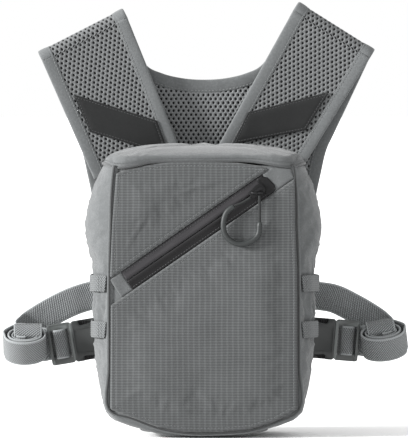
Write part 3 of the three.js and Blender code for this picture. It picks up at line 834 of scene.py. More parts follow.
def make_pouch():
    """Outer skin: gussets, back and bottom in one, with folds where the loops pull it in."""
    n = 240
    zs = np.concatenate([[0.0, 0.4, 1.2, 2.4, 4, 6, 8.5, 11, 14, 17, 20, 24], np.linspace(28, LID_Z, 84)])
    rings = np.array([np.column_stack([plan_ring(z, n), np.full(n, z)]) for z in zs])
    m = len(zs)
    round_ = np.roll(rings, -1, 1) - np.roll(rings, 1, 1)
    normal = unit(np.cross(np.gradient(rings, axis=0), round_))
    x, y, z = rings[..., 0], rings[..., 1], rings[..., 2]
    flat = rings.reshape(-1, 3)
    side = np.clip((np.abs(x) - 70) / 14, 0, 1) * np.clip((y + 47) / 10, 0, 1)
    side_of_wall = (np.abs(x) > 76).astype(float)
    fade = np.clip((LID_Z - z) / 8, 0, 1) * np.clip((z - 4) / 10, 0, 1)
    soft = noise_at(flat * [1, 1, 0.6], 0.028, 3.1).reshape(m, n)
    crease = noise_at(flat * [1, 0.5, 1.6], 0.075, 8.4).reshape(m, n)
    ridge = 1 - np.abs(crease) * 2
    push = side * fade * (1.5 * soft + 0.9 * np.clip(ridge, 0, 1) ** 3)
    # upright pleats near the loops, strongest between them
    loops = np.exp(-((z - 110) / 30) ** 2)
    pleat = np.sin((y + 50) * 0.42 + 1.3 * soft) * loops
    push += side * fade * 1.5 * pleat * np.clip(-(y + 8) / 20, 0, 1)
    for at, sway, depth in ((-41.5, 2.6, 1.9), (-33.0, 3.4, 1.5), (-22.0, 3.0, 0.9)):
        crease = (y - at - sway * np.sin(z * 0.06 + at)) / 1.5
        push -= side_of_wall * loops * depth * np.exp(-(crease**2))
    # each loop presses a shallow waist into the cloth
    for at in LOOPS.values():
        push -= side * 0.9 * np.exp(-((z - at) / 7.0) ** 2)
    rings = rings + normal * push[..., None]
    outer = rings.reshape(-1, 3)
    wall = 2.4
    inner = np.array([np.column_stack([plan_ring(max(zz, 6.4), n, wall),
                                       np.full(n, max(zz, 4.4))]) for zz in zs[4:]])
    mi = len(inner)
    verts = np.vstack([outer, inner.reshape(-1, 3), [[0, 0, 0.0]], [[0, 0, 4.4]]])
    base = m * n
    faces = ring_faces(m, n) + ring_faces(mi, n, base, flip=True)
    top_o, top_i = (m - 1) * n, base + (mi - 1) * n
    faces += [(top_o + j, top_o + (j + 1) % n, top_i + (j + 1) % n, top_i + j) for j in range(n)]
    c0, c1 = len(verts) - 2, len(verts) - 1
    faces += [(c0, (j + 1) % n, j) for j in range(n)]
    faces += [(c1, base + j, base + (j + 1) % n) for j in range(n)]
    obj = piece("pouch_body", verts, faces, "cloth", "pack", ["pouch_shell"])
    x, y, z = verts_of(obj).T
    loose = smoothstep((y + 47) / 5) * smoothstep((40 - y) / 8)
    loose = loose * smoothstep((226 - z) / 8) * smoothstep((z - 8) / 14)
    loose[m * n :] = 0
    for at in LOOPS.values():
        loose *= 1 - 0.7 * np.exp(-((z - at) / 6.0) ** 2)
    relax(obj, loose, 0.032, 2.4, 1.6)
    return obj


make_pouch()


def make_lining():
    """Padded lining: soft inner walls with upright quilting, a floor and a bound top edge."""
    n, step = 200, 3.0
    zs = np.concatenate([[12.2, 13.2, 15.5], np.linspace(20, 219, 60), [222, 224, 225.4, 226.2]])
    out_ring = [np.column_stack([plan_ring(min(z, 222), n, step), np.full(n, z)]) for z in zs]
    in_rings = []
    for z in zs:
        ring = plan_ring(min(z, 222), n, 8.0)
        swell = 1.6 * np.sin(np.linspace(0, 2 * math.pi * 14, n)) ** 2 * np.clip((z - 20) / 20, 0, 1)
        swell *= np.clip((218 - z) / 10, 0, 1)
        top = np.clip((z - 219) / 7, 0, 1)
        centre = ring / np.linalg.norm(ring, axis=1, keepdims=True)
        ring = ring - centre * swell[:, None] + centre * (4.4 * top**2)
        in_rings.append(np.column_stack([ring, np.full(n, z)]))
    m = len(zs)
    verts = np.vstack(out_ring + in_rings + [[[0, 0, 12.2]], [[0, 0, 13.4]]])
    faces = []
    for i in range(m - 1):
        for j in range(n):
            k = (j + 1) % n
            faces.append((i * n + j, i * n + k, (i + 1) * n + k, (i + 1) * n + j))
            faces.append(((m + i) * n + j, (m + i + 1) * n + j, (m + i + 1) * n + k, (m + i) * n + k))
    for j in range(n):
        k = (j + 1) % n
        faces.append(((m - 1) * n + j, (m - 1) * n + k, (2 * m - 1) * n + k, (2 * m - 1) * n + j))
        faces.append((j, 2 * m * n, k))
        faces.append((m * n + j, m * n + k, 2 * m * n + 1))
    nodes = ["liner_foam", "bottom_board", "pouch_magnet_bar"]
    lining = piece("pouch_lining", verts, faces, "lining", "pack", nodes)
    rim = np.column_stack([plan_ring(LID_Z - 1.5, 240, 2.6), np.full(240, 227.0)])
    tube("pouch_rim_binding", rim, 2.0, "tape", "pack", (), 10, True)


make_lining()

# ---------------------------------------------------------------- front pocket

ZIP_DIR = np.array([math.cos(math.radians(ZIP_ANGLE)), math.sin(math.radians(ZIP_ANGLE))])
ZIP_UP = np.array([-ZIP_DIR[1], ZIP_DIR[0]])
ZIP_FOOT = np.array([ZIP_X, ZIP_Z])
OUT = np.array([0, -1.0, 0])


def zip_point(s, q):
    return ZIP_FOOT + ZIP_DIR * s + ZIP_UP * q


def zip_q(x, z):
    return (x - ZIP_X) * ZIP_UP[0] + (z - ZIP_Z) * ZIP_UP[1]


def lift(points, y):
    """(x, z) points as (x, y, z)."""
    p = np.asarray(points, float)
    return np.column_stack([p[:, 0], np.broadcast_to(y, len(p)), p[:, 1]])


def quarter(d, radius):
    return np.sqrt(np.clip(1 - (1 - np.clip(d / radius, 0, 1)) ** 2, 0, 1))


PANEL_BOTTOM = [(79, 24), (61, 14), (40, 7), (15, 4.6), (-15, 4.6), (-38, 8.5), (-61, 17), (-79, 24)]


def panel_height(x, z, d):
    """How far the ripstop stands out: a folded hem, a stitched groove, a slack middle with soft creases."""
    clear = np.clip((np.abs(zip_q(x, z)) - 10) / 60, 0, 1)
    pts = np.column_stack([x, np.zeros_like(x), z])
    slack = noise_at(pts, 0.021, 5.0) * 1.1 + noise_at(pts * [1, 1, 2.2], 0.05, 2.0) * 0.35
    groove = 0.3 * np.exp(-(((d - 3.4) / 0.8) ** 2))
    hem = 2.6 * (0.25 + 0.75 * quarter(d, 2.4))
    belly = smoothstep(clear) * smoothstep(d / 34)
    return hem - groove + belly * (2.4 + slack) + 0.25 * slack * smoothstep(d / 8)


def make_panels():
    q = ZIP_HALF + 0.35
    upper = [zip_point(2.6, q), zip_point(166, q), (46, 229), (28, 231.4),
             (0, 232.6), (-26, 232.4), (-48, 229.6), (-66, 225.6), (-74, 222.4), (-77.4, 180)]
    lower = [(-78.6, 111.5), zip_point(2, -q), zip_point(179.5, -q), (76.8, 180),
             (78.6, 140)] + PANEL_BOTTOM
    rings = (0.35, 0.8, 1.5, 2.6, 3.4, 4.3, 6.0)
    lines = []
    for name, outline in (("upper", upper), ("lower", lower)):
        edge = rounded(outline, 2.0, 1.6)
        pad = pillow(
            "pocket_panel_" + name, edge, 2.2, panel_height, PANEL_Y, "ripstop", "pack",
            ["front_panel_" + name], rings=rings,
        )
        x, y, z = verts_of(pad).T
        d = polygon_distance(np.column_stack([x, z]), edge)
        loose = smoothstep((d - 5) / 16) * (y < PANEL_Y - 0.5)
        relax(pad, loose, 0.010, 0.8, 0.4, 16, 1.5)
        seam = seam_inside(edge, 3.4)
        d = np.full(len(seam), 3.4)
        lines.append((lift(seam, PANEL_Y - panel_height(seam[:, 0], seam[:, 1], d) - 0.1), OUT))
    stitches("pocket_stitching", lines, "pack", "seam_thread", 2.9, 2.1, 0.22)


def make_facings():
    """Plain cloth facings that carry the zip's line out to both edges."""

    def low(x, z, d):
        return 0.5 + 1.1 * quarter(d, 1.2) + 0.2 * np.sin(x * 0.4)

    start, end = ZIP_START - 0.3, ZIP_END + 0.3
    shapes = {
        "lower": [zip_point(start, -9), zip_point(start, 9), zip_point(2.4, 9), zip_point(2, -9)],
        "upper": [zip_point(end, 9), zip_point(end, -9), zip_point(179, -9), (73, 226.5), (57.5, 227.5)],
    }
    for name, outline in shapes.items():
        pillow(
            "zip_facing_" + name, rounded(outline, 1.0, 1.5), 2.4, low, PANEL_Y, "facing", "pack",
            ["zip_garage_" + name],
        )


def make_zip():
    """Two coated tapes that meet over the coil, crowned beside it and stitched along their outer edges."""
    s = np.linspace(ZIP_START, ZIP_END, 110)
    across = np.array([0.15, 0.5, 1.2, 2.2, 3.2, 4.4, 5.6, 6.6, 7.2, 7.8, 8.4, 9.0])
    top = np.array([1.0, 1.55, 1.95, 2.0, 1.85, 1.45, 1.25, 1.2, 0.95, 1.15, 1.2, 0.75])
    lines = []
    for name, sign in (("upper", 1), ("lower", -1)):
        centres = np.array([lift([zip_point(v, 0)], PANEL_Y)[0] for v in s])
        side = np.array([ZIP_UP[0], 0, ZIP_UP[1]]) * sign
        wave = 0.12 * np.sin(s * 0.21 + (0 if sign > 0 else 2)) + 0.08 * np.sin(s * 0.07)
        section = []
        for w in wave:
            rows = [(a, t + w * math.sin(min(a / 9, 1) * math.pi)) for a, t in zip(across, top)]
            section.append(rows + [(9.0, 0.35), (0.15, 0.35)])
        n = len(s)
        verts, faces, attr = sweep(centres, np.tile(side, (n, 1)), np.tile(OUT, (n, 1)), section)
        # the upper tape takes the lighter copy: painted light on the tape that faces up
        piece(
            "zip_strip_" + name, verts, faces, "coated_worn" if sign > 0 else "coated", "pack",
            ["zip_tape_" + name],
            attrs={"strap": attr},
        )
        seam = np.array([zip_point(v, 7.2 * sign) for v in (ZIP_START + 1, ZIP_END - 1)])
        lines.append((densify(lift(seam, PANEL_Y - 1.05), 2), OUT))
    stitches("zip_stitching", lines, "pack", "dark_thread", 2.7, 2.0, 0.2)

    coil_s = np.arange(ZIP_START + 1, ZIP_END - 1, 1.5)
    verts, faces = [], []
    a = np.linspace(0, 2 * math.pi, 7, endpoint=False)
    for v in coil_s:
        for sign in (1, -1):
            base = len(verts)
            for t in np.linspace(0, math.pi, 5):
                q = sign * (0.3 + 1.9 * math.sin(t) ** 0.8)
                centre = np.array([*zip_point(v + (0.375 if sign > 0 else -0.375), q)])
                y = PANEL_Y - 0.55 + 0.28 * math.cos(t)
                for b in a:
                    x, z = centre + ZIP_DIR * 0.32 * math.cos(b)
                    verts.append((x, y + 0.2 * math.sin(b), z))
            faces += ring_faces(5, 7, base) + end_caps(5, 7, base)
    piece("zip_chain", verts, faces, "black_plastic", "pack", ["zip_coil"])

    def cap_height(x, z, d):
        return 1.6 + 0.9 * quarter(d, 1.8) - 0.25 * np.exp(-(((d - 2.6) / 0.5) ** 2))

    cap = [zip_point(151.5, -8.6), zip_point(160.6, -8.6), zip_point(162, -4), zip_point(160.8, 4.5),
           zip_point(157, 8.0), zip_point(151.5, 8.8)]
    pillow("zip_end_cap", rounded(cap, 2.6, 1.0), 1.5, cap_height, PANEL_Y, "black_plastic", "pack")


def make_piping():
    side = [(79, 60), (78.6, 140), (77.4, 180), (77, 200), (75.5, 220), (74.2, 229)]
    rim = side[::-1] + PANEL_BOTTOM + [(-x, z) for x, z in side]
    p = catmull(rim, 260)
    t = tangents(p)
    centre = p.mean(0)
    normal = np.column_stack([t[:, 1], -t[:, 0]])
    normal *= np.sign(((p - centre) * normal).sum(1).mean())
    course = p + normal * 0.9
    # the piping is coloured dark: painted shade along the panel's edge seam
    tube("panel_piping", lift(course, FRONT_Y - 1.0), 0.8, "piping", "pack",
         ["front_panel_piping"], 12)
    side_dir = np.column_stack([normal[:, 0], np.zeros(len(p)), normal[:, 1]])
    tail = [(2.7, 1.2), (2.9, 0.4), (2.2, -1.2), (0.9, -5.0), (-2.6, -1.0), (-3.0, 0.2), (0.4, 0.65),
            (1.4, 1.2)]
    verts, faces, attr = sweep(lift(p, FRONT_Y), side_dir, np.tile(OUT, (len(p), 1)), tail)
    piece("panel_piping_flange", verts, faces, "cloth", "pack", attrs={"strap": attr})


make_panels()
make_facings()
make_zip()
make_piping()

# ---------------------------------------------------------------- hard parts


class Local:
    """A right-angled local frame: points (u, w, v) become origin + u*U + w*W + v*V."""

    def __init__(self, origin, u, w, v):
        self.origin, self.axes = np.asarray(origin, float), np.array([unit(u), unit(w), unit(v)])

    def at(self, points):
        return self.origin + np.asarray(points, float) @ self.axes

    def vec(self, points):
        return np.asarray(points, float) @ self.axes


def prism(outline, low, high, frame_, name="cutter"):
    """A plain mesh object: an outline of (u, v) carried from w = low to high."""
    n = len(outline)
    pts = [(u, low, v) for u, v in outline] + [(u, high, v) for u, v in outline]
    faces = [tuple(range(n)), tuple(range(n, 2 * n))[::-1]]
    faces += [(i, i + n, (i + 1) % n + n, (i + 1) % n) for i in range(n)]
    mesh = bpy.data.meshes.new(name)
    mesh.from_pydata((frame_.at(pts) * MM).tolist(), [], faces)
    settle_normals(mesh)
    return linked(name, mesh)


def rect(u0, v0, u1, v1):
    return [(u0, v0), (u1, v0), (u1, v1), (u0, v1)]


def hard(name, base, cutters, unions, mat, body, replaces, bevel=0.45, first_bevel=0.0):
    """A moulded part: a base solid with pieces added and cut away, then its edges softened."""
    if first_bevel:
        add_modifier(base, "BEVEL", width=first_bevel * MM, segments=3, limit_method="ANGLE",
                     angle_limit=0.9)
    for kind, tools in (("UNION", unions), ("DIFFERENCE", cutters)):
        for tool in tools:
            add_modifier(base, "BOOLEAN", operation=kind, object=tool, solver="EXACT")
    bpy.context.view_layer.update()
    apply_all(base)
    for tool in [*cutters, *unions]:
        bpy.data.objects.remove(tool)
    add_modifier(base, "BEVEL", width=bevel * MM, segments=2, limit_method="ANGLE", angle_limit=0.6,
                 use_clamp_overlap=True)
    bpy.context.view_layer.update()
    apply_all(base)
    base.name = name
    base.data.name = name
    base.data.polygons.foreach_set("use_smooth", [True] * len(base.data.polygons))
    base.data.set_sharp_from_angle(angle=0.7)
    base.data.materials.clear()
    base.data.materials.append(MAT[mat])
    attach(base, body)
    if replaces:
        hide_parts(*replaces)
    return base


def make_slider():
    """Slider: a body with a narrow nose and flared shoulders, two grooves, a bridge and a round bail."""
    x, z = zip_point(ZIP_SLIDER, 0)
    f = Local((x, 0, z), (ZIP_DIR[0], 0, ZIP_DIR[1]), (0, 1, 0), (ZIP_UP[0], 0, ZIP_UP[1]))
    back = FRONT_Y - 2.5
    outline = [(-7, -3.2), (-4, -3.4), (1.5, -4.5), (5.4, -4.4), (7, -2.6), (7, 2.6), (5.4, 4.4),
               (1.5, 4.5),
               (-4, 3.4), (-7, 3.2)]
    base = prism(outline, back - 2.9, back, f)
    grooves = [prism(rect(-8, v, 8, v + 0.9), back - 1.6, back + 1, f) for v in (-2.4, 1.5)]
    bridge = prism(rect(-4.6, -1.1, 5.4, 1.1), back - 4.0, back - 2.5, f)
    hard("zip_slider_body", base, grooves, [bridge], "black_plastic", "zip_slider",
         ["zip_slider"], 0.35)
    bx, by, bz = BAIL
    arch = catmull([(bx - 4.1, back - 2.4, bz + 0.6), (bx - 4.2, by + 0.8, bz + 0.3), (bx - 3.4, by, bz),
                    (bx, by - 0.15, bz), (bx + 3.4, by, bz), (bx + 4.2, by + 0.8, bz + 0.3),
                    (bx + 4.1, back - 2.4, bz + 0.6)], 40)
    tube("zip_slider_bail", arch, 1.3, "black_plastic", "zip_slider", (), 12)


make_slider()


def buckle_frame(spec):
    a = math.radians(spec["slope"])
    side = spec["side"]
    inner = MOUTH_X - SOCKET_L * math.cos(a)
    origin = (side * inner, BUCKLE_Y, spec["z"] + SOCKET_L * math.sin(a))
    u = (side * math.cos(a), 0, -math.sin(a))
    v = (side * math.sin(a), 0, math.cos(a))
    return Local(origin, u, (0, 1, 0), v)


def make_buckle(side, spec):
    f = buckle_frame(spec)
    body = "plug_" + side
    # socket: crowned case, open mouth, side windows with round ends, a slot for its tab, a sunk front panel
    case = rounded([(2, -14.5), (5, -17.5), (27, -17.5), (27, 17.5), (5, 17.5), (2, 14.5)], 2.2, 40)
    base = prism(case, -5, 5, f)
    cuts = [prism(rect(8, -14.8, 28, 14.8), -3, 3, f)]
    for sign in (1, -1):
        window = rounded([(9, sign * 12.5), (20, sign * 12.5), (20, sign * 20), (9, sign * 20)], 1.6, 40)
        cuts.append(prism(window, -3, 3, f))
        notch = rounded([(8.4, sign * 14.2), (19.4, sign * 13.0), (21.5, sign * 20), (8, sign * 20)], 1.8,
                        40)
        cuts.append(prism(notch, -7, -2.8, f))
    cuts.append(prism(rect(4.2, -13, 7, 13), -7, 7, f))
    cuts.append(prism(rounded(rect(10.5, -10.2, 25.2, 10.2), 2.4, 40), -7, -4.45, f))
    cuts.append(prism(rounded(rect(10.5, -10.2, 25.2, 10.2), 2.4, 40), 4.45, 7, f))
    hard("socket_" + side, base, cuts, [], "plastic", "pack", ["buckle_socket_" + side],
         0.35, 1.2)

    # plug: ladder frame with a thicker, ridged outer bar, and the guide that runs into the socket
    frame_ = rounded(rect(27.3, -17.5, 47.8, 17.5), 2.6, 40)
    base = prism(frame_, -3.5, 3.5, f)
    lips = [prism(rounded(rect(44.9, -16.6, 47.6, 16.6), 1.0, 40), -4.2, 3.4, f),
            prism(rect(10, -2, 28, 2), -1.8, 1.8, f),
            prism(rect(26.3, -16.2, 28.5, 16.2), -3.7, 3.4, f)]
    slots = [prism(rounded(rect(29.7, -12.45, 33.3, 12.45), 0.5, 40), -7, 7, f),
             prism(rounded(rect(41.6, -12.45, 45.4, 12.45), 0.5, 40), -7, 7, f)]
    hard("plug_frame_" + side, base, slots, lips, "plug_plastic", body,
         ["buckle_plug_" + side], 0.4, 0.9)

    prong = [(27, 8.4), (27, 11.2), (23, 11.4), (19.8, 12.3), (19.5, 16.9), (14, 16.6), (11, 14.6),
             (9.6, 12.6),
             (9.6, 9.4), (12, 8.5), (17, 8.4)]
    for row, turn in (("upper", 1), ("lower", -1)):
        base = prism(rounded([(a, b * turn) for a, b in prong], 0.6, 40), -2.4, 2.4, f)
        ribs = [prism(rect(a, 12.9 * turn if turn > 0 else -17.6, a + 0.8,
                           17.6 if turn > 0 else 12.9 * turn), -3, -2.0, f)
                for a in (12.6, 14.6, 16.6)]
        # prongs in black plastic: painted shade, so the socket's windows read dark round them
        hard(f"prong_{side}_{row}", base, ribs, [], "black_plastic", f"prong_{side}_{row}",
             [f"buckle_prong_{side}_{row}"], 0.3)

    seam = BACK_Y + 1.2
    inner = spec["side"] * f.origin[0]
    z = f.origin[2] + 0.5
    tab = [(70, seam), (75.5, seam - 0.1), (79.5, 44.6), (82.4, 42.6), (inner + 2.2, 44.9),
           (inner + 4.6, 46.0),
           (inner + 5.6, 43.0), (inner + 5.6, 37.0), (inner + 4.4, 33.9), (inner + 1.5, 35.4),
           (inner - 1.5, 38.6), (81, 41.0)]
    line = catmull([(spec["side"] * x, y, z) for x, y in tab], 90)
    strap("socket_webbing_" + side, line, (0, 0, 1), WEBBING - 0.5, 1.4, "webbing", "pack", "webbing",
          ["socket_tab_" + side])
    box_seam = [(spec["side"] * 80.4, 40.9, z + v) for v in (-10, 10)]
    stitches("socket_stitching_" + side, [(densify(box_seam, 2), (spec["side"] * -0.5, -0.8, 0))], "pack",
             "thread", 2.6, 1.9, 0.25)


def make_roll(side, spec):
    """The rolled-up tail: about three turns of webbing, with its end folded over the top."""
    lean = math.radians(38)
    tilt = math.radians(spec["roll_slope"])
    c, s_ = math.cos(tilt), math.sin(tilt)

    def turned(p):
        x, y, z = p
        return (x * c - z * s_, y, x * s_ + z * c)

    a_axis = turned((1, 0, 0))
    b_axis = turned((0, -math.sin(lean + math.pi / 2) * 1.0, -math.cos(math.pi / 2 - lean)))
    up = np.cross(a_axis, b_axis)
    up = up if up[2] > 0 else -up
    f = Local((spec["roll_x"], 23.5, spec["roll_z"]), a_axis, b_axis, up)
    wide = spec["roll_w"] / 2 - 0.9
    k = np.linspace(0, 1, 260)
    angle = k * 2 * math.pi * 3.3
    swell = 1 + 0.02 * np.sin(angle * 2.0 + 0.7)
    a = (wide - k * (wide - 7.4)) * swell * spec["side"]
    b = (11.6 - k * (11.6 - 3.0)) * swell
    coil = f.at(np.column_stack([a * np.cos(angle), b * np.sin(angle), 1.2 * np.sin(k * 7.0) * k]))
    # from behind the plug, over its middle bar from the mouth outwards, then out to the roll's rear
    plug = buckle_frame(spec)
    route = [(50.2, 6.5), (44, 6.6), (36, 6.6), (31.4, 6.4), (30.5, 5.2), (31.6, 3.6), (32.3, 1.2),
             (32.4, -2.0),
             (33.3, -4.5), (35.2, -5.6), (37.5, -5.9), (39.8, -5.6), (41.6, -4.4), (42.5, -2.0),
             (42.6, 1.4),
             (43.4, 3.9), (45.8, 4.8), (50, 4.65), (54, 4.3)]
    bar = plug.at([(u, w, 0) for u, w in route])
    rear = f.at([((wide + 2.4) * spec["side"] * math.cos(t), (11.6 + 2.4) * math.sin(t),
                  0) for t in (-1.25, -0.8, -0.35)])
    line = catmull(np.vstack([bar, rear, coil[::4]]), 640)
    s = arc_lengths(line)
    first, last = s[np.argmin(np.linalg.norm(line - bar[-1],
                                             axis=1))], s[np.argmin(np.linalg.norm(line - rear[1], axis=1))]
    share = smoothstep((s - first) / (last - first))[:, None]
    sides = unit(plug.axes[2] * (1 - share) + up * share)
    name = "webbing_roll_" + side
    # the roll takes its own tone of the strap's webbing: painted light and shade
    strap(name + "_turns", line, sides, 25.0, 1.5, "webbing_pale", "plug_" + side, "webbing", [name])
    a = spec["flap"]
    over = catmull([(a, -13.3, 3), (a, -13.5, 8), (a, -12.4, 12.8), (a, -9.4, 15.2), (a + 0.2, -5.2, 15.6),
                    (a + 0.3, -1.4, 14.6), (a + 0.4, 0.9, 12.4), (a + 0.5, 1.2, 8.0)], 80)
    strap(name + "_flap", f.at(over), a_axis, 24.0, 1.55, "webbing_pale", "plug_" + side, "webbing")
    hem = [f.at([(a + v, -8.6, 16.4)])[0] for v in (-10.5, 10.5)]
    stitches(name + "_stitching", [(densify(hem, 2), up)], "plug_" + side, "thread", 2.6, 1.9, 0.25)


for which, numbers in BUCKLES.items():
    make_buckle(which, numbers)
    make_roll(which, numbers)

# ---------------------------------------------------------------- lid

LID_PROFILE = [
    (229.5, 84.5, 0), (232, 83.6, -0.6), (235, 81.5, -0.4), (238, 77.6, 1.2), (240.6, 72, 4.2),
    (242.6, 65, 8.4),
    (244.4, 54, 14), (245.6, 42, 21), (246.2, 26, 31), (246.5, 10, 41),
]


def lid_ring(z, wide, round_, n):
    """One level of the lid: a rounded rectangle that draws in towards the top."""
    front, back = FRONT_Y - 1 + round_, BACK_Y - round_
    corner = min(wide * 0.45, 14)
    right = [
        (wide * 0.35, back), (wide - corner, back), (wide - corner * 0.4, back - (back - front) * 0.08),
        (wide, back - (back - front) * 0.27), (wide, front + (back - front) * 0.28),
        (wide - corner * 0.35, front + (back - front) * 0.09), (wide - corner, front), (wide * 0.4, front),
    ]
    left = [(-x, y) for x, y in right[::-1]]
    ring = catmull(np.array([(0, back)] + right + left), n, True)
    return np.column_stack([ring, np.full(n, z)])


def seam_rise(x, y):
    """How far the lid's lower edge lies above its plane: arched over the front, low at the corners."""
    places = [-85, -77, -72, -64, -56, -46, -30, 0, 30, 42, 52, 64, 72, 77, 85]
    rises = [-0.6, -2.4, -3.2, -2.4, -0.9, 1.3, 2.2, 2.4, 2.8, 2.0, 0.5, -1.5, -2.4, -1.8, -0.4]
    return np.interp(x, places, rises) * smoothstep((-30 - np.asarray(y)) / 18)


def make_lid():
    n = 260
    profile = resample(catmull(LID_PROFILE, 400), 56)
    rows = profile[:, :2]
    rings = np.array([lid_ring(z, wide, round_, n) for z, wide, round_ in profile])
    around = np.roll(rings, -1, 1) - np.roll(rings, 1, 1)
    normal = unit(np.cross(np.gradient(rings, axis=0), around))
    x, z = rings[..., 0], rings[..., 2]
    flat = rings.reshape(-1, 3)
    band = np.exp(-(((z - 235.5) / 4.5) ** 2))
    soft = noise_at(flat, 0.03, 6.0).reshape(z.shape)
    fine = noise_at(flat * [1, 1, 0.7], 0.085, 1.2).reshape(z.shape)
    ridge = np.clip(1 - 2.2 * np.abs(fine), 0, 1) ** 2
    push = band * 1.7 * (1 - 0.9 * smoothstep((np.abs(x) - 72) / 9))
    push = push + 0.7 * soft * np.clip((z - 230) / 3, 0, 1) + 0.3 * ridge * np.clip((z - 231) / 4, 0, 1)
    push *= np.clip((245.2 - z) / 2.5, 0, 1)
    # mitre seams: the front roll meets the side rolls on a slant near both front corners
    corner = np.abs(np.abs(x) - (72.5 + 0.95 * (z - 229.5)))
    front = rings[..., 1] < -24
    push -= np.where(front, 1.9 * np.exp(-((corner / 1.1) ** 2)), 0)
    rings = rings + normal * push[..., None]
    rings[..., 2] += seam_rise(x[0], rings[0, :, 1])[None] * np.clip((243 - z) / 12, 0, 1)
    # the crown is drawn smooth and taut
    crown = smoothstep((z - 238.5) / 4.5)
    heights = rings[..., 2]
    for _ in range(80):
        above = np.vstack([heights[1:], np.full((1, n), 246.5)])
        below = np.vstack([heights[:1], heights[:-1]])
        heights += crown * ((np.roll(heights, 1, 1) + np.roll(heights, -1,
                                                              1) + above + below) / 4 - heights)
    m = len(rings)
    verts = [rings.reshape(-1, 3), [[0, -2.0, 246.52]]]
    under = []
    for step, z_at in ((2.0, 229.8), (3.2, 230.6), (5.0, 231.4), (9, 231.2), (16, 230.9), (30, 230.7)):
        ring = lid_ring(z_at, 84.5 - step, step * 0.55, n)
        ring[:, 2] += np.maximum(seam_rise(ring[:, 0], ring[:, 1]), -0.5)
        under.append(ring)
    verts += under + [[[0, -2.0, 230.6]]]
    faces = ring_faces(m, n)
    faces += [((m - 1) * n + j, (m - 1) * n + (j + 1) % n, m * n) for j in range(n)]
    base = m * n + 1
    faces += [(j, base + j, base + (j + 1) % n, (j + 1) % n) for j in range(n)]
    faces += ring_faces(len(under), n, base, flip=True)
    last = base + (len(under) - 1) * n
    faces += [(last + j, last + n, last + (j + 1) % n) for j in range(n)]
    lid = piece("lid_pad", np.vstack(verts), faces, "cloth", "lid",
                ["lid_shell", "lid_foam", "lid_magnet_bar"])
    z = verts_of(lid)[:, 2]
    loose = smoothstep((z - 234) / 5)
    loose[m * n + 1 :] = 0
    relax(lid, loose, 0.014, 1.3, 2.4)
    rim = lid_ring(230.4, 84.4, -0.2, 200)
    rim[:, 2] += seam_rise(rim[:, 0], rim[:, 1])
    # binding in the dark lining cloth: painted shade for the shadow line under the lid's edge
    tube("lid_binding_shade_line", rim, 1.15, "lining", "lid", (), 10, True)
    centre = np.array([0, -2, 0])
    seam = lid_ring(233.4, np.interp(233.4, *rows.T) + 1.2, -2.0, 300)
    out = unit((seam - centre) * [1, 1, 0])
    seam[:, 2] += seam_rise(seam[:, 0], seam[:, 1]) * 0.8
    stitches("lid_stitching", [(seam + out * 0.25, out)], "lid", "dark_thread", 2.8, 2.0, 0.22)
    tab = catmull([(0, 47.6, 229.2), (0, 48.2, 232), (0, 48.8, 237), (0, 49.9, 240.6), (0, 51.4, 241.2),
                   (0, 51.4, 239.2), (0, 50.2, 236), (0, 49.8, 232)], 50)
    strap("lid_tab", tab, (1, 0, 0), 20, 1.2, "tape", "lid", "webbing", ["lid_pull_tab"])
    row = densify([(-8, 50.7, 233.2), (8, 50.7, 233.2)], 2)
    stitches("lid_tab_stitching", [(row, (0, 1, 0))], "lid", "thread", 2.6, 1.9, 0.25)


make_lid()

# ---------------------------------------------------------------- webbing loops on the gussets


def side_x(z, y):
    ring = plan_ring(z, 240)
    right = ring[(ring[:, 0] > 20) & (ring[:, 1] > FRONT_Y + 1) & (ring[:, 1] < BACK_Y - 1)]
    order = np.argsort(right[:, 1])
    return float(np.interp(y, right[order, 1], right[order, 0]))


def make_side_loops():
    depths = [-44, -42, -36, -26, -14, -2, 10, 22, 31, 37]
    for row, z in LOOPS.items():
        for side, sign in (("left", -1), ("right", 1)):
            pts = []
            for i, y in enumerate(depths):
                slack = 0.9 if i in (0, 9) else 1.3 if i == 1 else 2.9 + 0.7 * math.sin(i * 1.4 + sign)
                x = max(side_x(z + d, y) for d in (-7, 0, 7)) + slack
                pts.append((sign * x, y, z + 0.5 * math.sin(i * 0.9)))
            line = catmull(pts, 90)
            name = f"side_loop_{side}_{row}"
            strap(name + "_tape", line, (0, 0, 1), 14, 1.3, "webbing_loop", "pack", "webbing", [name])
            t = tangents(line)
            rows = []
            for at in (5, 8, 46, 85):
                p, out = line[at], np.cross(t[at], (0, 0, 1))
                out = out * (1 if out[0] * sign > 0 else -1)
                ends = [p + out * 0.75 + np.array([0, 0, v]) for v in (-6, 6)]
                rows.append((densify(ends, 2), out))
            stitches(name + "_tacks", rows, "pack", "thread", 1.7, 1.3, 0.26)


make_side_loops()

# ---------------------------------------------------------------- open mesh

HOLE_ACROSS, HOLE_ALONG = 4.3, 3.4
HOLE_SIDES = 12


def hex_cells(low, high):
    """Centres of staggered cells over a box of (a, b), a across and b along."""
    rows = np.arange(low[1] - HOLE_ALONG, high[1] + HOLE_ALONG, HOLE_ALONG)
    out = []
    for j, b in enumerate(rows):
        shift = HOLE_ACROSS / 2 if j % 2 else 0
        a = np.arange(low[0] - HOLE_ACROSS, high[0] + HOLE_ACROSS, HOLE_ACROSS) + shift
        out.append(np.column_stack([a, np.full(len(a), b)]))
    return np.vstack(out)


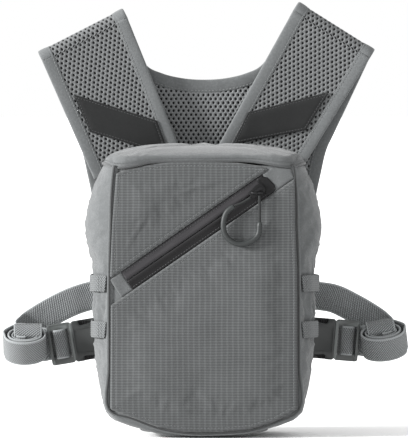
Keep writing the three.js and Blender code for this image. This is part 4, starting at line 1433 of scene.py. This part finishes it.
def lattice(name, centres, place, mat, body, sunk=0.75, replaces=(), hole=(0.98, 1.22)):
    """Open mesh: every cell is a six-sided ring round a hole. place turns (a, b, height) rows into points.

    Heights run from 0 on the ridges down into the hole's rim, and the back of the net closes it.
    """
    p, q = HOLE_ACROSS, HOLE_ALONG
    near, far = q / 2 - p * p / (8 * q), q / 2 + p * p / (8 * q)
    corners = np.array([(p / 2, -near), (p / 2, near), (0, far), (-p / 2, near), (-p / 2, -near),
                        (0, -far)])
    outer = np.empty((HOLE_SIDES, 2))
    outer[0::2] = corners
    outer[1::2] = (corners + np.roll(corners, -1, 0)) / 2
    angle = np.arctan2(outer[:, 1] / hole[1], outer[:, 0] / hole[0])
    rim = np.column_stack([np.cos(angle) * hole[0], np.sin(angle) * hole[1]])
    middle = outer * 0.45 + rim * 0.55
    levels = [(outer, 0.0), (middle, 0.12), (rim * 1.12, 0.38), (rim, sunk), (rim * 1.2, sunk + 0.28),
              (outer, sunk + 0.4)]
    k, n = HOLE_SIDES, len(centres)
    local = np.vstack([np.column_stack([shape, np.full(k, -drop)]) for shape, drop in levels])
    rng = np.random.default_rng(7)
    jitter = rng.normal(0, 0.07, (n, 1, 2))
    pts = np.tile(local, (n, 1, 1))
    wobble = np.zeros((len(levels), 1))
    wobble[1:5] = 1
    pts[:, :, :2] += centres[:, None, :] + jitter * np.repeat(wobble, k, 0)[None]
    per = len(local)
    quads = np.array(ring_faces(len(levels), k, flip=True))
    faces = (quads[None] + (np.arange(n) * per)[:, None, None]).reshape(-1, 4)
    verts = place(pts.reshape(-1, 3))
    obj = piece(name, verts, faces.tolist(), mat, body, replaces, tidy=False)
    settle_normals(obj.data, 0.00004)
    obj.data.polygons.foreach_set("use_smooth", [True] * len(obj.data.polygons))
    return obj


def strap_corners(spec):
    (outer, inner), (foot_outer, foot_inner) = np.array(spec["fold"], float), spec["foot"]
    run = unit(inner - outer)
    down = np.array([run[1], -run[0]]) * np.sign(run[0])
    low = down * (FOLD_R + MESH_T / 2)
    return outer + low, inner + low, np.array([foot_outer, FOOT_Z]), np.array([foot_inner, FOOT_Z]), down


CORNERS = {side: strap_corners(spec) for side, spec in STRAPS.items()}


def strap_wave(x, z):
    """How far a hanging strap's surface stands forward of its own plane."""
    pts = np.column_stack([x, np.zeros_like(x), z])
    return 0.9 * noise_at(pts, 0.018, 11) + 0.25 * noise_at(pts, 0.06, 4)


TAPE_ACROSS = np.array([0.0, 0.012, 0.05, 0.12, 0.3, 0.5, 0.7, 0.80, 0.86, 0.93, 0.985, 1.0])
TAPE_SWELL = np.array([0.25, 0.62, 0.88, 1.0, 1.06, 1.04, 0.98, 0.90, 0.82, 0.90, 0.84, 0.55])


def tape_section(first):
    """(share across, swell) rows round a folded tape: out along one face, whose sign is first, and back."""
    rows = list(zip(TAPE_ACROSS, first * TAPE_SWELL))
    return rows + [(u, -swell) for u, swell in rows[::-1]]


def taped_edge(name, outer, inner, y, thick, body, replaces):
    """A tape folded over an edge, between two lines of (x, z): full at the edge, thin where it is sewn."""
    outer, inner = np.asarray(outer, float), np.asarray(inner, float)
    n = len(outer)
    points, attr = [], []
    s = arc_lengths((outer + inner) / 2)
    width = np.linalg.norm(inner - outer, axis=1)
    for u, swell in tape_section(-1):
        p = outer + (inner - outer) * u
        yy = y - strap_wave(p[:, 0], p[:, 1]) + (thick / 2) * swell
        points.append(lift(p, yy))
        attr.append(np.column_stack([s, (u - 0.5) * width, np.zeros(n)]))
    k = len(points)
    verts = np.stack(points, 1).reshape(-1, 3)
    strap_attr = np.stack(attr, 1).reshape(-1, 3)
    faces = ring_faces(n, k) + end_caps(n, k)
    return piece(name, verts, faces, "tape", body, replaces, attrs={"strap": strap_attr})


def seam_on(outer, inner, share, y, thick):
    """The sewn line on a taped edge, as (points, outward) for both faces."""
    p = np.asarray(outer) + (np.asarray(inner) - np.asarray(outer)) * share
    wave = strap_wave(p[:, 0], p[:, 1])
    half = thick / 2 * 0.82 + 0.12
    return [(lift(p, y - wave - half), OUT), (lift(p, y - wave + half), -OUT)]


def make_strap(side):
    outer, inner, foot_outer, foot_inner, _ = CORNERS[side]
    full = np.linalg.norm(inner - outer)

    def top(t):
        return outer + (inner - outer) * t / full

    def foot(t):
        return foot_outer + (foot_inner - foot_outer) * t / full

    def line(t, n=60):
        return top(t) + (foot(t) - top(t)) * np.linspace(0, 1, n)[:, None]

    y = STRAP_Y + MESH_T / 2
    tapes, seams = [], []
    for edge, a, b in (("outer", 0, BINDING), ("inner", full, full - BINDING)):
        name = f"strap_{side}_tape_{edge}"
        tapes.append(taped_edge(name, line(a), line(b), y, 4.0, "pack", [f"strap_binding_{side}_{edge}"]))
        seams += seam_on(line(a), line(b), 0.86, y, 4.0)
    tapes.append(stitches(f"strap_{side}_stitching", seams, "pack", "thread", 2.9, 2.1, 0.24))

    across = unit(inner - outer)
    along = np.array([across[1], -across[0]]) * np.sign(across[0])
    quad = np.array([top(BINDING - 2.5), foot(BINDING - 2.5), foot(full - BINDING + 2.5),
                     top(full - BINDING + 2.5)])
    local = np.column_stack([(quad - outer) @ across, (quad - outer) @ along])
    cells = hex_cells(local.min(0), local.max(0))
    cells = cells[inside(cells, local)]
    for face, sign in (("front", -1), ("back", 1)):

        def place(rows, sign=sign):
            p = outer + rows[:, :1] * across + rows[:, 1:2] * along
            return np.column_stack([p[:, 0], y - strap_wave(p[:, 0], p[:, 1]) + sign * (1.5 + rows[:, 2]),
                                    p[:, 1]])

        tapes.append(lattice(f"strap_{side}_net_{face}", cells, place, "mesh", "pack"))

    pts, tris = fill(rounded(quad, 1, 3), 4.0, (1.0,))
    base = y - strap_wave(pts[:, 0], pts[:, 1])
    verts = np.vstack([lift(pts, base - 0.22), lift(pts, base + 0.22)])
    # a near-black sheet between the net's faces: painted shade seen through the holes
    core = piece(f"strap_{side}_core", verts, two_sided(tris, len(pts)), "mesh_core", "pack",
                 ["strap_mesh_" + side])

    def band_height(x, z, d):
        return 1.0 + 0.6 * quarter(d, 0.9) - 0.3 * np.exp(-(((d - 1.8) / 0.4) ** 2)) + strap_wave(x, z)

    outline = rounded(BANDS[side], 0.8, 1.6)
    band = pillow(f"strap_{side}_band", outline, 3.0, band_height, STRAP_Y - 0.1, "band", "pack",
                  ["strap_band_" + side], rings=(0.4, 0.9, 1.8, 2.6))
    seam = seam_inside(outline, 1.8)
    d = np.full(len(seam), 1.8)
    rows = [(lift(seam, STRAP_Y - 0.2 - band_height(seam[:, 0], seam[:, 1], d)), OUT)]
    tapes += [band, stitches(f"strap_{side}_band_stitching", rows, "pack", "dark_thread", 2.6, 1.9, 0.2)]

    sign = np.sign(outer[0])
    anchor = rounded([(sign * 16, 215.5), (sign * 70, 215.5), (sign * 64, 200.2), (sign * 20, 200.2)],
                     2.0, 1.6)

    def pad_height(x, z, d):
        return 3.4 + 1.4 * quarter(d, 1.6) - 0.5 * np.exp(-(((d - 2.6) / 0.6) ** 2))

    pillow(f"strap_{side}_anchor", anchor, 2.6, pad_height, BACK_Y + 0.3, "facing", "pack",
           ["strap_anchor_" + side], front=1, rings=(0.5, 1.2, 2.0, 2.6, 3.4))
    seam = seam_inside(anchor, 2.6)
    cross = [densify([(sign * 24, 203.5), (sign * 62, 212.5)], 2),
             densify([(sign * 24, 212.5), (sign * 62, 203.5)], 2)]
    rows = [(lift(p, BACK_Y + 4.75 if i else BACK_Y + 4.55), -OUT) for i, p in enumerate([seam, *cross])]
    stitches(f"strap_{side}_anchor_stitching", rows, "pack", "thread", 2.9, 2.1, 0.26)


def make_fold(side):
    """Strap and yoke meet in a rolled fold over the shoulder."""
    outer, inner, _, _, down = CORNERS[side]
    full = np.linalg.norm(inner - outer)
    across = unit(inner - outer)
    centre_y = STRAP_Y + MESH_T / 2 + FOLD_R

    def wrap(t, arc, height):
        """t across, arc along the fold from the front layer to the rear one, height outwards."""
        angle = np.clip(arc / (math.pi * FOLD_R), -0.3, 1.3) * math.pi
        over = np.clip(angle, 0, math.pi)
        radius = FOLD_R + height
        y = centre_y - radius * np.cos(over)
        rise = radius * np.sin(over) - (np.abs(angle - over)) * FOLD_R
        x = outer[0] + across[0] * t - down[0] * rise
        z = outer[1] + across[1] * t - down[1] * rise
        mid = strap_wave(x, z) * np.cos(over / 2) ** 2
        return np.column_stack([x, y - mid, z])

    made = []
    arcs = np.linspace(-1.0, math.pi * FOLD_R + 1.0, 26)
    section = tape_section(1)
    k = len(section)
    for edge, t0, t1 in (("outer", 0, BINDING), ("inner", full, full - BINDING)):
        rows = np.array([(t0 + (t1 - t0) * u, arc, 2.0 * swell) for arc in arcs for u, swell in section])
        attr = np.array([(arc, (u - 0.5) * BINDING, 0) for arc in arcs for u, _ in section])
        verts = wrap(rows[:, 0], rows[:, 1], rows[:, 2])
        faces = ring_faces(len(arcs), k) + end_caps(len(arcs), k)
        made.append(piece(f"fold_{side}_tape_{edge}", verts, faces, "tape", None,
                          attrs={"strap": attr}))
    cells = hex_cells((BINDING - 2, 0.5), (full - BINDING + 2, math.pi * FOLD_R))
    cells = cells[(cells[:, 0] > BINDING - 2) & (cells[:, 0] < full - BINDING + 2)]
    cells = cells[(cells[:, 1] > -1) & (cells[:, 1] < math.pi * FOLD_R + 1)]
    made.append(lattice(f"fold_{side}_net", cells, lambda r: wrap(r[:, 0], r[:, 1], 1.5 + r[:, 2]),
                        "mesh", None))
    grid = np.array([(t, arc, 0) for arc in np.linspace(-0.5, math.pi * FOLD_R + 0.5, 20)
                     for t in np.linspace(BINDING - 2, full - BINDING + 2, 12)])
    top = wrap(grid[:, 0], grid[:, 1], np.full(len(grid), 0.25))
    low = wrap(grid[:, 0], grid[:, 1], np.full(len(grid), -0.25))
    quads = [(i * 12 + j, i * 12 + j + 1, (i + 1) * 12 + j + 1,
              (i + 1) * 12 + j) for i in range(19) for j in range(11)]
    faces = two_sided(quads, len(grid))
    # a near-black sheet between the fold's net faces: painted shade seen through the holes
    core = piece(f"fold_{side}_core", np.vstack([top, low]), faces, "mesh_core", None,
                 replaces=["shoulder_fold_" + side])
    for obj in [core, *made]:
        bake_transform(obj)


for which in STRAPS:
    make_strap(which)
    make_fold(which)

# ---------------------------------------------------------------- yoke


def make_yoke():
    waist = [(112, 255), (105.5, 241), (100.5, 220), (96, 198), (92, 165), (90, 130), (88, HEM_Z)]
    dip = [(18, 302.2), (36, 306.5), (50, 314)]
    (lo, li, *_), (ro, ri, *_) = CORNERS["left"], CORNERS["right"]
    y = YOKE_Y + MESH_T / 2
    lines = {
        "left": ([lo] + [(-x, z) for x, z in waist], li - lo, 1),
        "right": ([ro] + waist, ri - ro, -1),
        "neck": ([li] + [(-x, z) for x, z in dip[::-1]] + [(0, 301)] + dip + [ri], None, 1),
    }
    inner_lines, tapes, seams = {}, [], []
    for name, (pts, fold, sign) in lines.items():
        outer = catmull(pts, 120)
        t = tangents(outer)
        normal = np.column_stack([-t[:, 1], t[:, 0]])
        towards = np.array([0, 200.0]) - outer[len(outer) // 2]
        if (normal[len(outer) // 2] @ towards) < 0:
            normal = -normal
        share = np.linspace(0, 1, 120)[:, None]
        ease = np.clip(1 - share / 0.16, 0, 1)
        if fold is not None:
            normal = normal * (1 - ease) + unit(fold) * ease
        else:
            end = np.clip(1 - (1 - share) / 0.16, 0, 1)
            normal = normal * (1 - ease - end) + unit(lo - li) * ease + unit(ro - ri) * end
        inner = outer + unit(normal) * BINDING
        inner_lines[name] = outer + unit(normal) * (BINDING - 2.5)
        tapes.append(taped_edge(f"yoke_tape_{name}", outer, inner, y, 4.0, "yoke",
                                [f"yoke_binding_{name}"]))
        seams += seam_on(outer, inner, 0.86, y, 4.0)
    low, high = densify([(-77, HEM_Z), (77, HEM_Z)],
                        3), densify([(-77, HEM_Z + BINDING), (77, HEM_Z + BINDING)], 3)
    tapes.append(taped_edge("yoke_tape_hem", low, high, y, 4.0, "yoke", ["yoke_binding_bottom"]))
    seams += seam_on(low, high, 0.86, y, 4.0)
    tapes.append(stitches("yoke_stitching", seams, "yoke", "thread", 3.0, 2.2, 0.24))

    left, right, neck = inner_lines["left"], inner_lines["right"], inner_lines["neck"]
    left, right = left[left[:, 1] > HEM_Z + BINDING - 3], right[right[:, 1] > HEM_Z + BINDING - 3]
    outline = np.vstack([left[::-1], neck, right])
    outline = resample(np.vstack([outline, outline[:1]]), 320, True)
    cells = hex_cells(outline.min(0), outline.max(0))
    cells = cells[inside(cells, outline)]
    for face, sign in (("front", -1), ("back", 1)):

        def place(rows, sign=sign):
            wave = strap_wave(rows[:, 0], rows[:, 1])
            return np.column_stack([rows[:, 0], y - wave + sign * (1.5 + rows[:, 2]), rows[:, 1]])

        # the yoke's front face takes the lighter copy of the yarn: painted light where it lies in shade
        yarn = "mesh_rear" if face == "front" else "mesh"
        for half, part in (("left", cells[cells[:, 0] < 0]), ("right", cells[cells[:, 0] >= 0])):
            tapes.append(lattice(f"yoke_net_{face}_{half}", part, place, yarn, "yoke"))
    pts, tris = fill(outline, 6.0, (1.5,))
    base = y - strap_wave(pts[:, 0], pts[:, 1])
    verts = np.vstack([lift(pts, base - 0.22), lift(pts, base + 0.22)])
    # a near-black sheet between the yoke's net faces: painted shade seen through the holes
    core = piece("yoke_core", verts, two_sided(tris, len(pts)), "mesh_core", "yoke",
                 ["yoke_panel"])


make_yoke()


def make_side_webbing(side, spec):
    """Webbing from the yoke past the roll and back to the plug, in two lengths that meet at the bend."""
    rear = YOKE_Y + MESH_T + 0.4 + 0.3 + WEBBING_T / 2
    rise = spec["z"] - 76.4
    route = [
        (72, rear + 0.4, 117), (84, rear + 0.4, 117), (97, rear - 0.2, 115), (112, 63.8, 110.5 + rise),
        (127, 61.8, 103.5 + rise), (141, 59.5, 95.5 + rise), (152, 56.6, 88 + rise),
        (158, 51.5, 82.5 + rise),
        (155.5, 48.2, 79 + rise), (147, 46.8, 77 + rise), (135.4, 46.4, 75.8 + rise),
    ]
    line = catmull([(spec["side"] * x, y, z) for x, y, z in route], 200)
    bend = int(np.argmax(line[:, 0] * spec["side"]))
    name = "side_webbing_" + side
    halves = (("inner", line[: bend + 1], "yoke", line[30]),
              ("outer", line[bend:], "plug_" + side, line[-1]))
    for part, pts, body, far in halves:
        obj = strap(f"{name}_{part}", pts, (0, 0, 1), WEBBING - 0.4, WEBBING_T, "webbing", None, "webbing",
                    [name] if part == "inner" else ())
        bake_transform(obj)
    x0, x1 = spec["side"] * 74.5, spec["side"] * 84
    z0, z1 = 106.5, 127.5
    box = densify([(x0, z0), (x1, z0), (x1, z1), (x0, z1), (x0, z0), (x1, z1)], 2)
    stitches(name + "_stitching", [(lift(box, rear + 1.3), -OUT)], "yoke", "thread", 2.8, 2.0, 0.26)


for which, numbers in BUCKLES.items():
    make_side_webbing(which, numbers)

# ---------------------------------------------------------------- back


BACK_PAD = [(-70, 20), (70, 20), (70, 199.5), (-70, 199.5)]
BACK_QUILTING = (65, 110, 155)  # heights of the pad's stitched channels


def make_back():
    """Quilted pad against the wearer, on its covered stiffener."""
    outline = rounded(BACK_PAD, 9, 2.0)

    def height(x, z, d):
        puff = 3.0 + 2.2 * smoothstep(d / 16)
        for at in BACK_QUILTING:
            puff = puff - 2.4 * np.exp(-(((z - at) / 2.6) ** 2)) * smoothstep((d - 3) / 8)
        pts = np.column_stack([x, np.zeros_like(x), z])
        edge = 0.35 + 0.65 * quarter(d, 2.4)
        return puff * edge + 0.35 * noise_at(pts, 0.05,
                                             9) * smoothstep(d / 10) - 0.7 * np.exp(-(((d - 5) / 0.9) ** 2))

    pad = pillow("back_pad_cover", outline, 2.6, height, BACK_Y + 2.2, "lining", "pack",
                 ["back_pad"], front=1,
                 rings=(0.5, 1.2, 2.4, 3.8, 5.0, 6.4))
    seam = seam_inside(outline, 5.0)
    lines = [seam] + [densify([(-58, at), (58, at)], 2) for at in BACK_QUILTING]
    rows = []
    for p in lines:
        d = polygon_distance(p, outline)
        rows.append((lift(p, BACK_Y + 2.3 + height(p[:, 0], p[:, 1], d)), -OUT))
    stitches("back_pad_stitching", rows, "pack", "thread", 3.0, 2.2, 0.24)
    tube("back_pad_piping", lift(rounded(BACK_PAD, 9, 1.6),
                                 BACK_Y + 2.6),
         1.1, "tape", "pack", (), 10, True)
    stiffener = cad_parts["back_stiffener"]
    stiffener.data.materials.clear()
    stiffener.data.materials.append(MAT["facing"])


make_back()

# ---------------------------------------------------------------- floor, light, end

SUN_STRENGTH = 8.8


def make_studio():
    mesh = bpy.data.meshes.new("floor")
    mesh.from_pydata([(-30, -30, -0.0006), (30, -30, -0.0006), (30, 30, -0.0006), (-30, 30, -0.0006)], [],
                     [(0, 1, 2, 3)])
    floor = linked("floor", mesh)
    n = Nodes("floor")
    mesh.materials.append(n.finish(rgba(0.93, 0.93, 0.93), roughness=0.9))
    world = bpy.data.worlds.new("world")
    world.use_nodes = True
    world.node_tree.nodes["Background"].inputs[0].default_value = (1, 1, 1, 1)
    world.node_tree.nodes["Background"].inputs[1].default_value = 1.0
    bpy.context.scene.world = world
    bpy.context.scene.view_settings.view_transform = "Standard"
    sun = bpy.data.lights.new("key", "SUN")
    sun.energy, sun.angle = SUN_STRENGTH, math.radians(14)
    for name, data, spot in (
        ("key", sun, (-1.65, -0.5, 0.75)), ("fill", bpy.data.lights.new("fill", "AREA"), (1.7, -1.9, 0.8)),
    ):
        lamp = linked(name, data)
        lamp.location = spot
        lamp.rotation_euler = (CAMERA_AT - Vector(spot)).to_track_quat("-Z", "Y").to_euler()
        if data.type == "AREA":
            data.size, data.energy = 1.2, 6


make_studio()
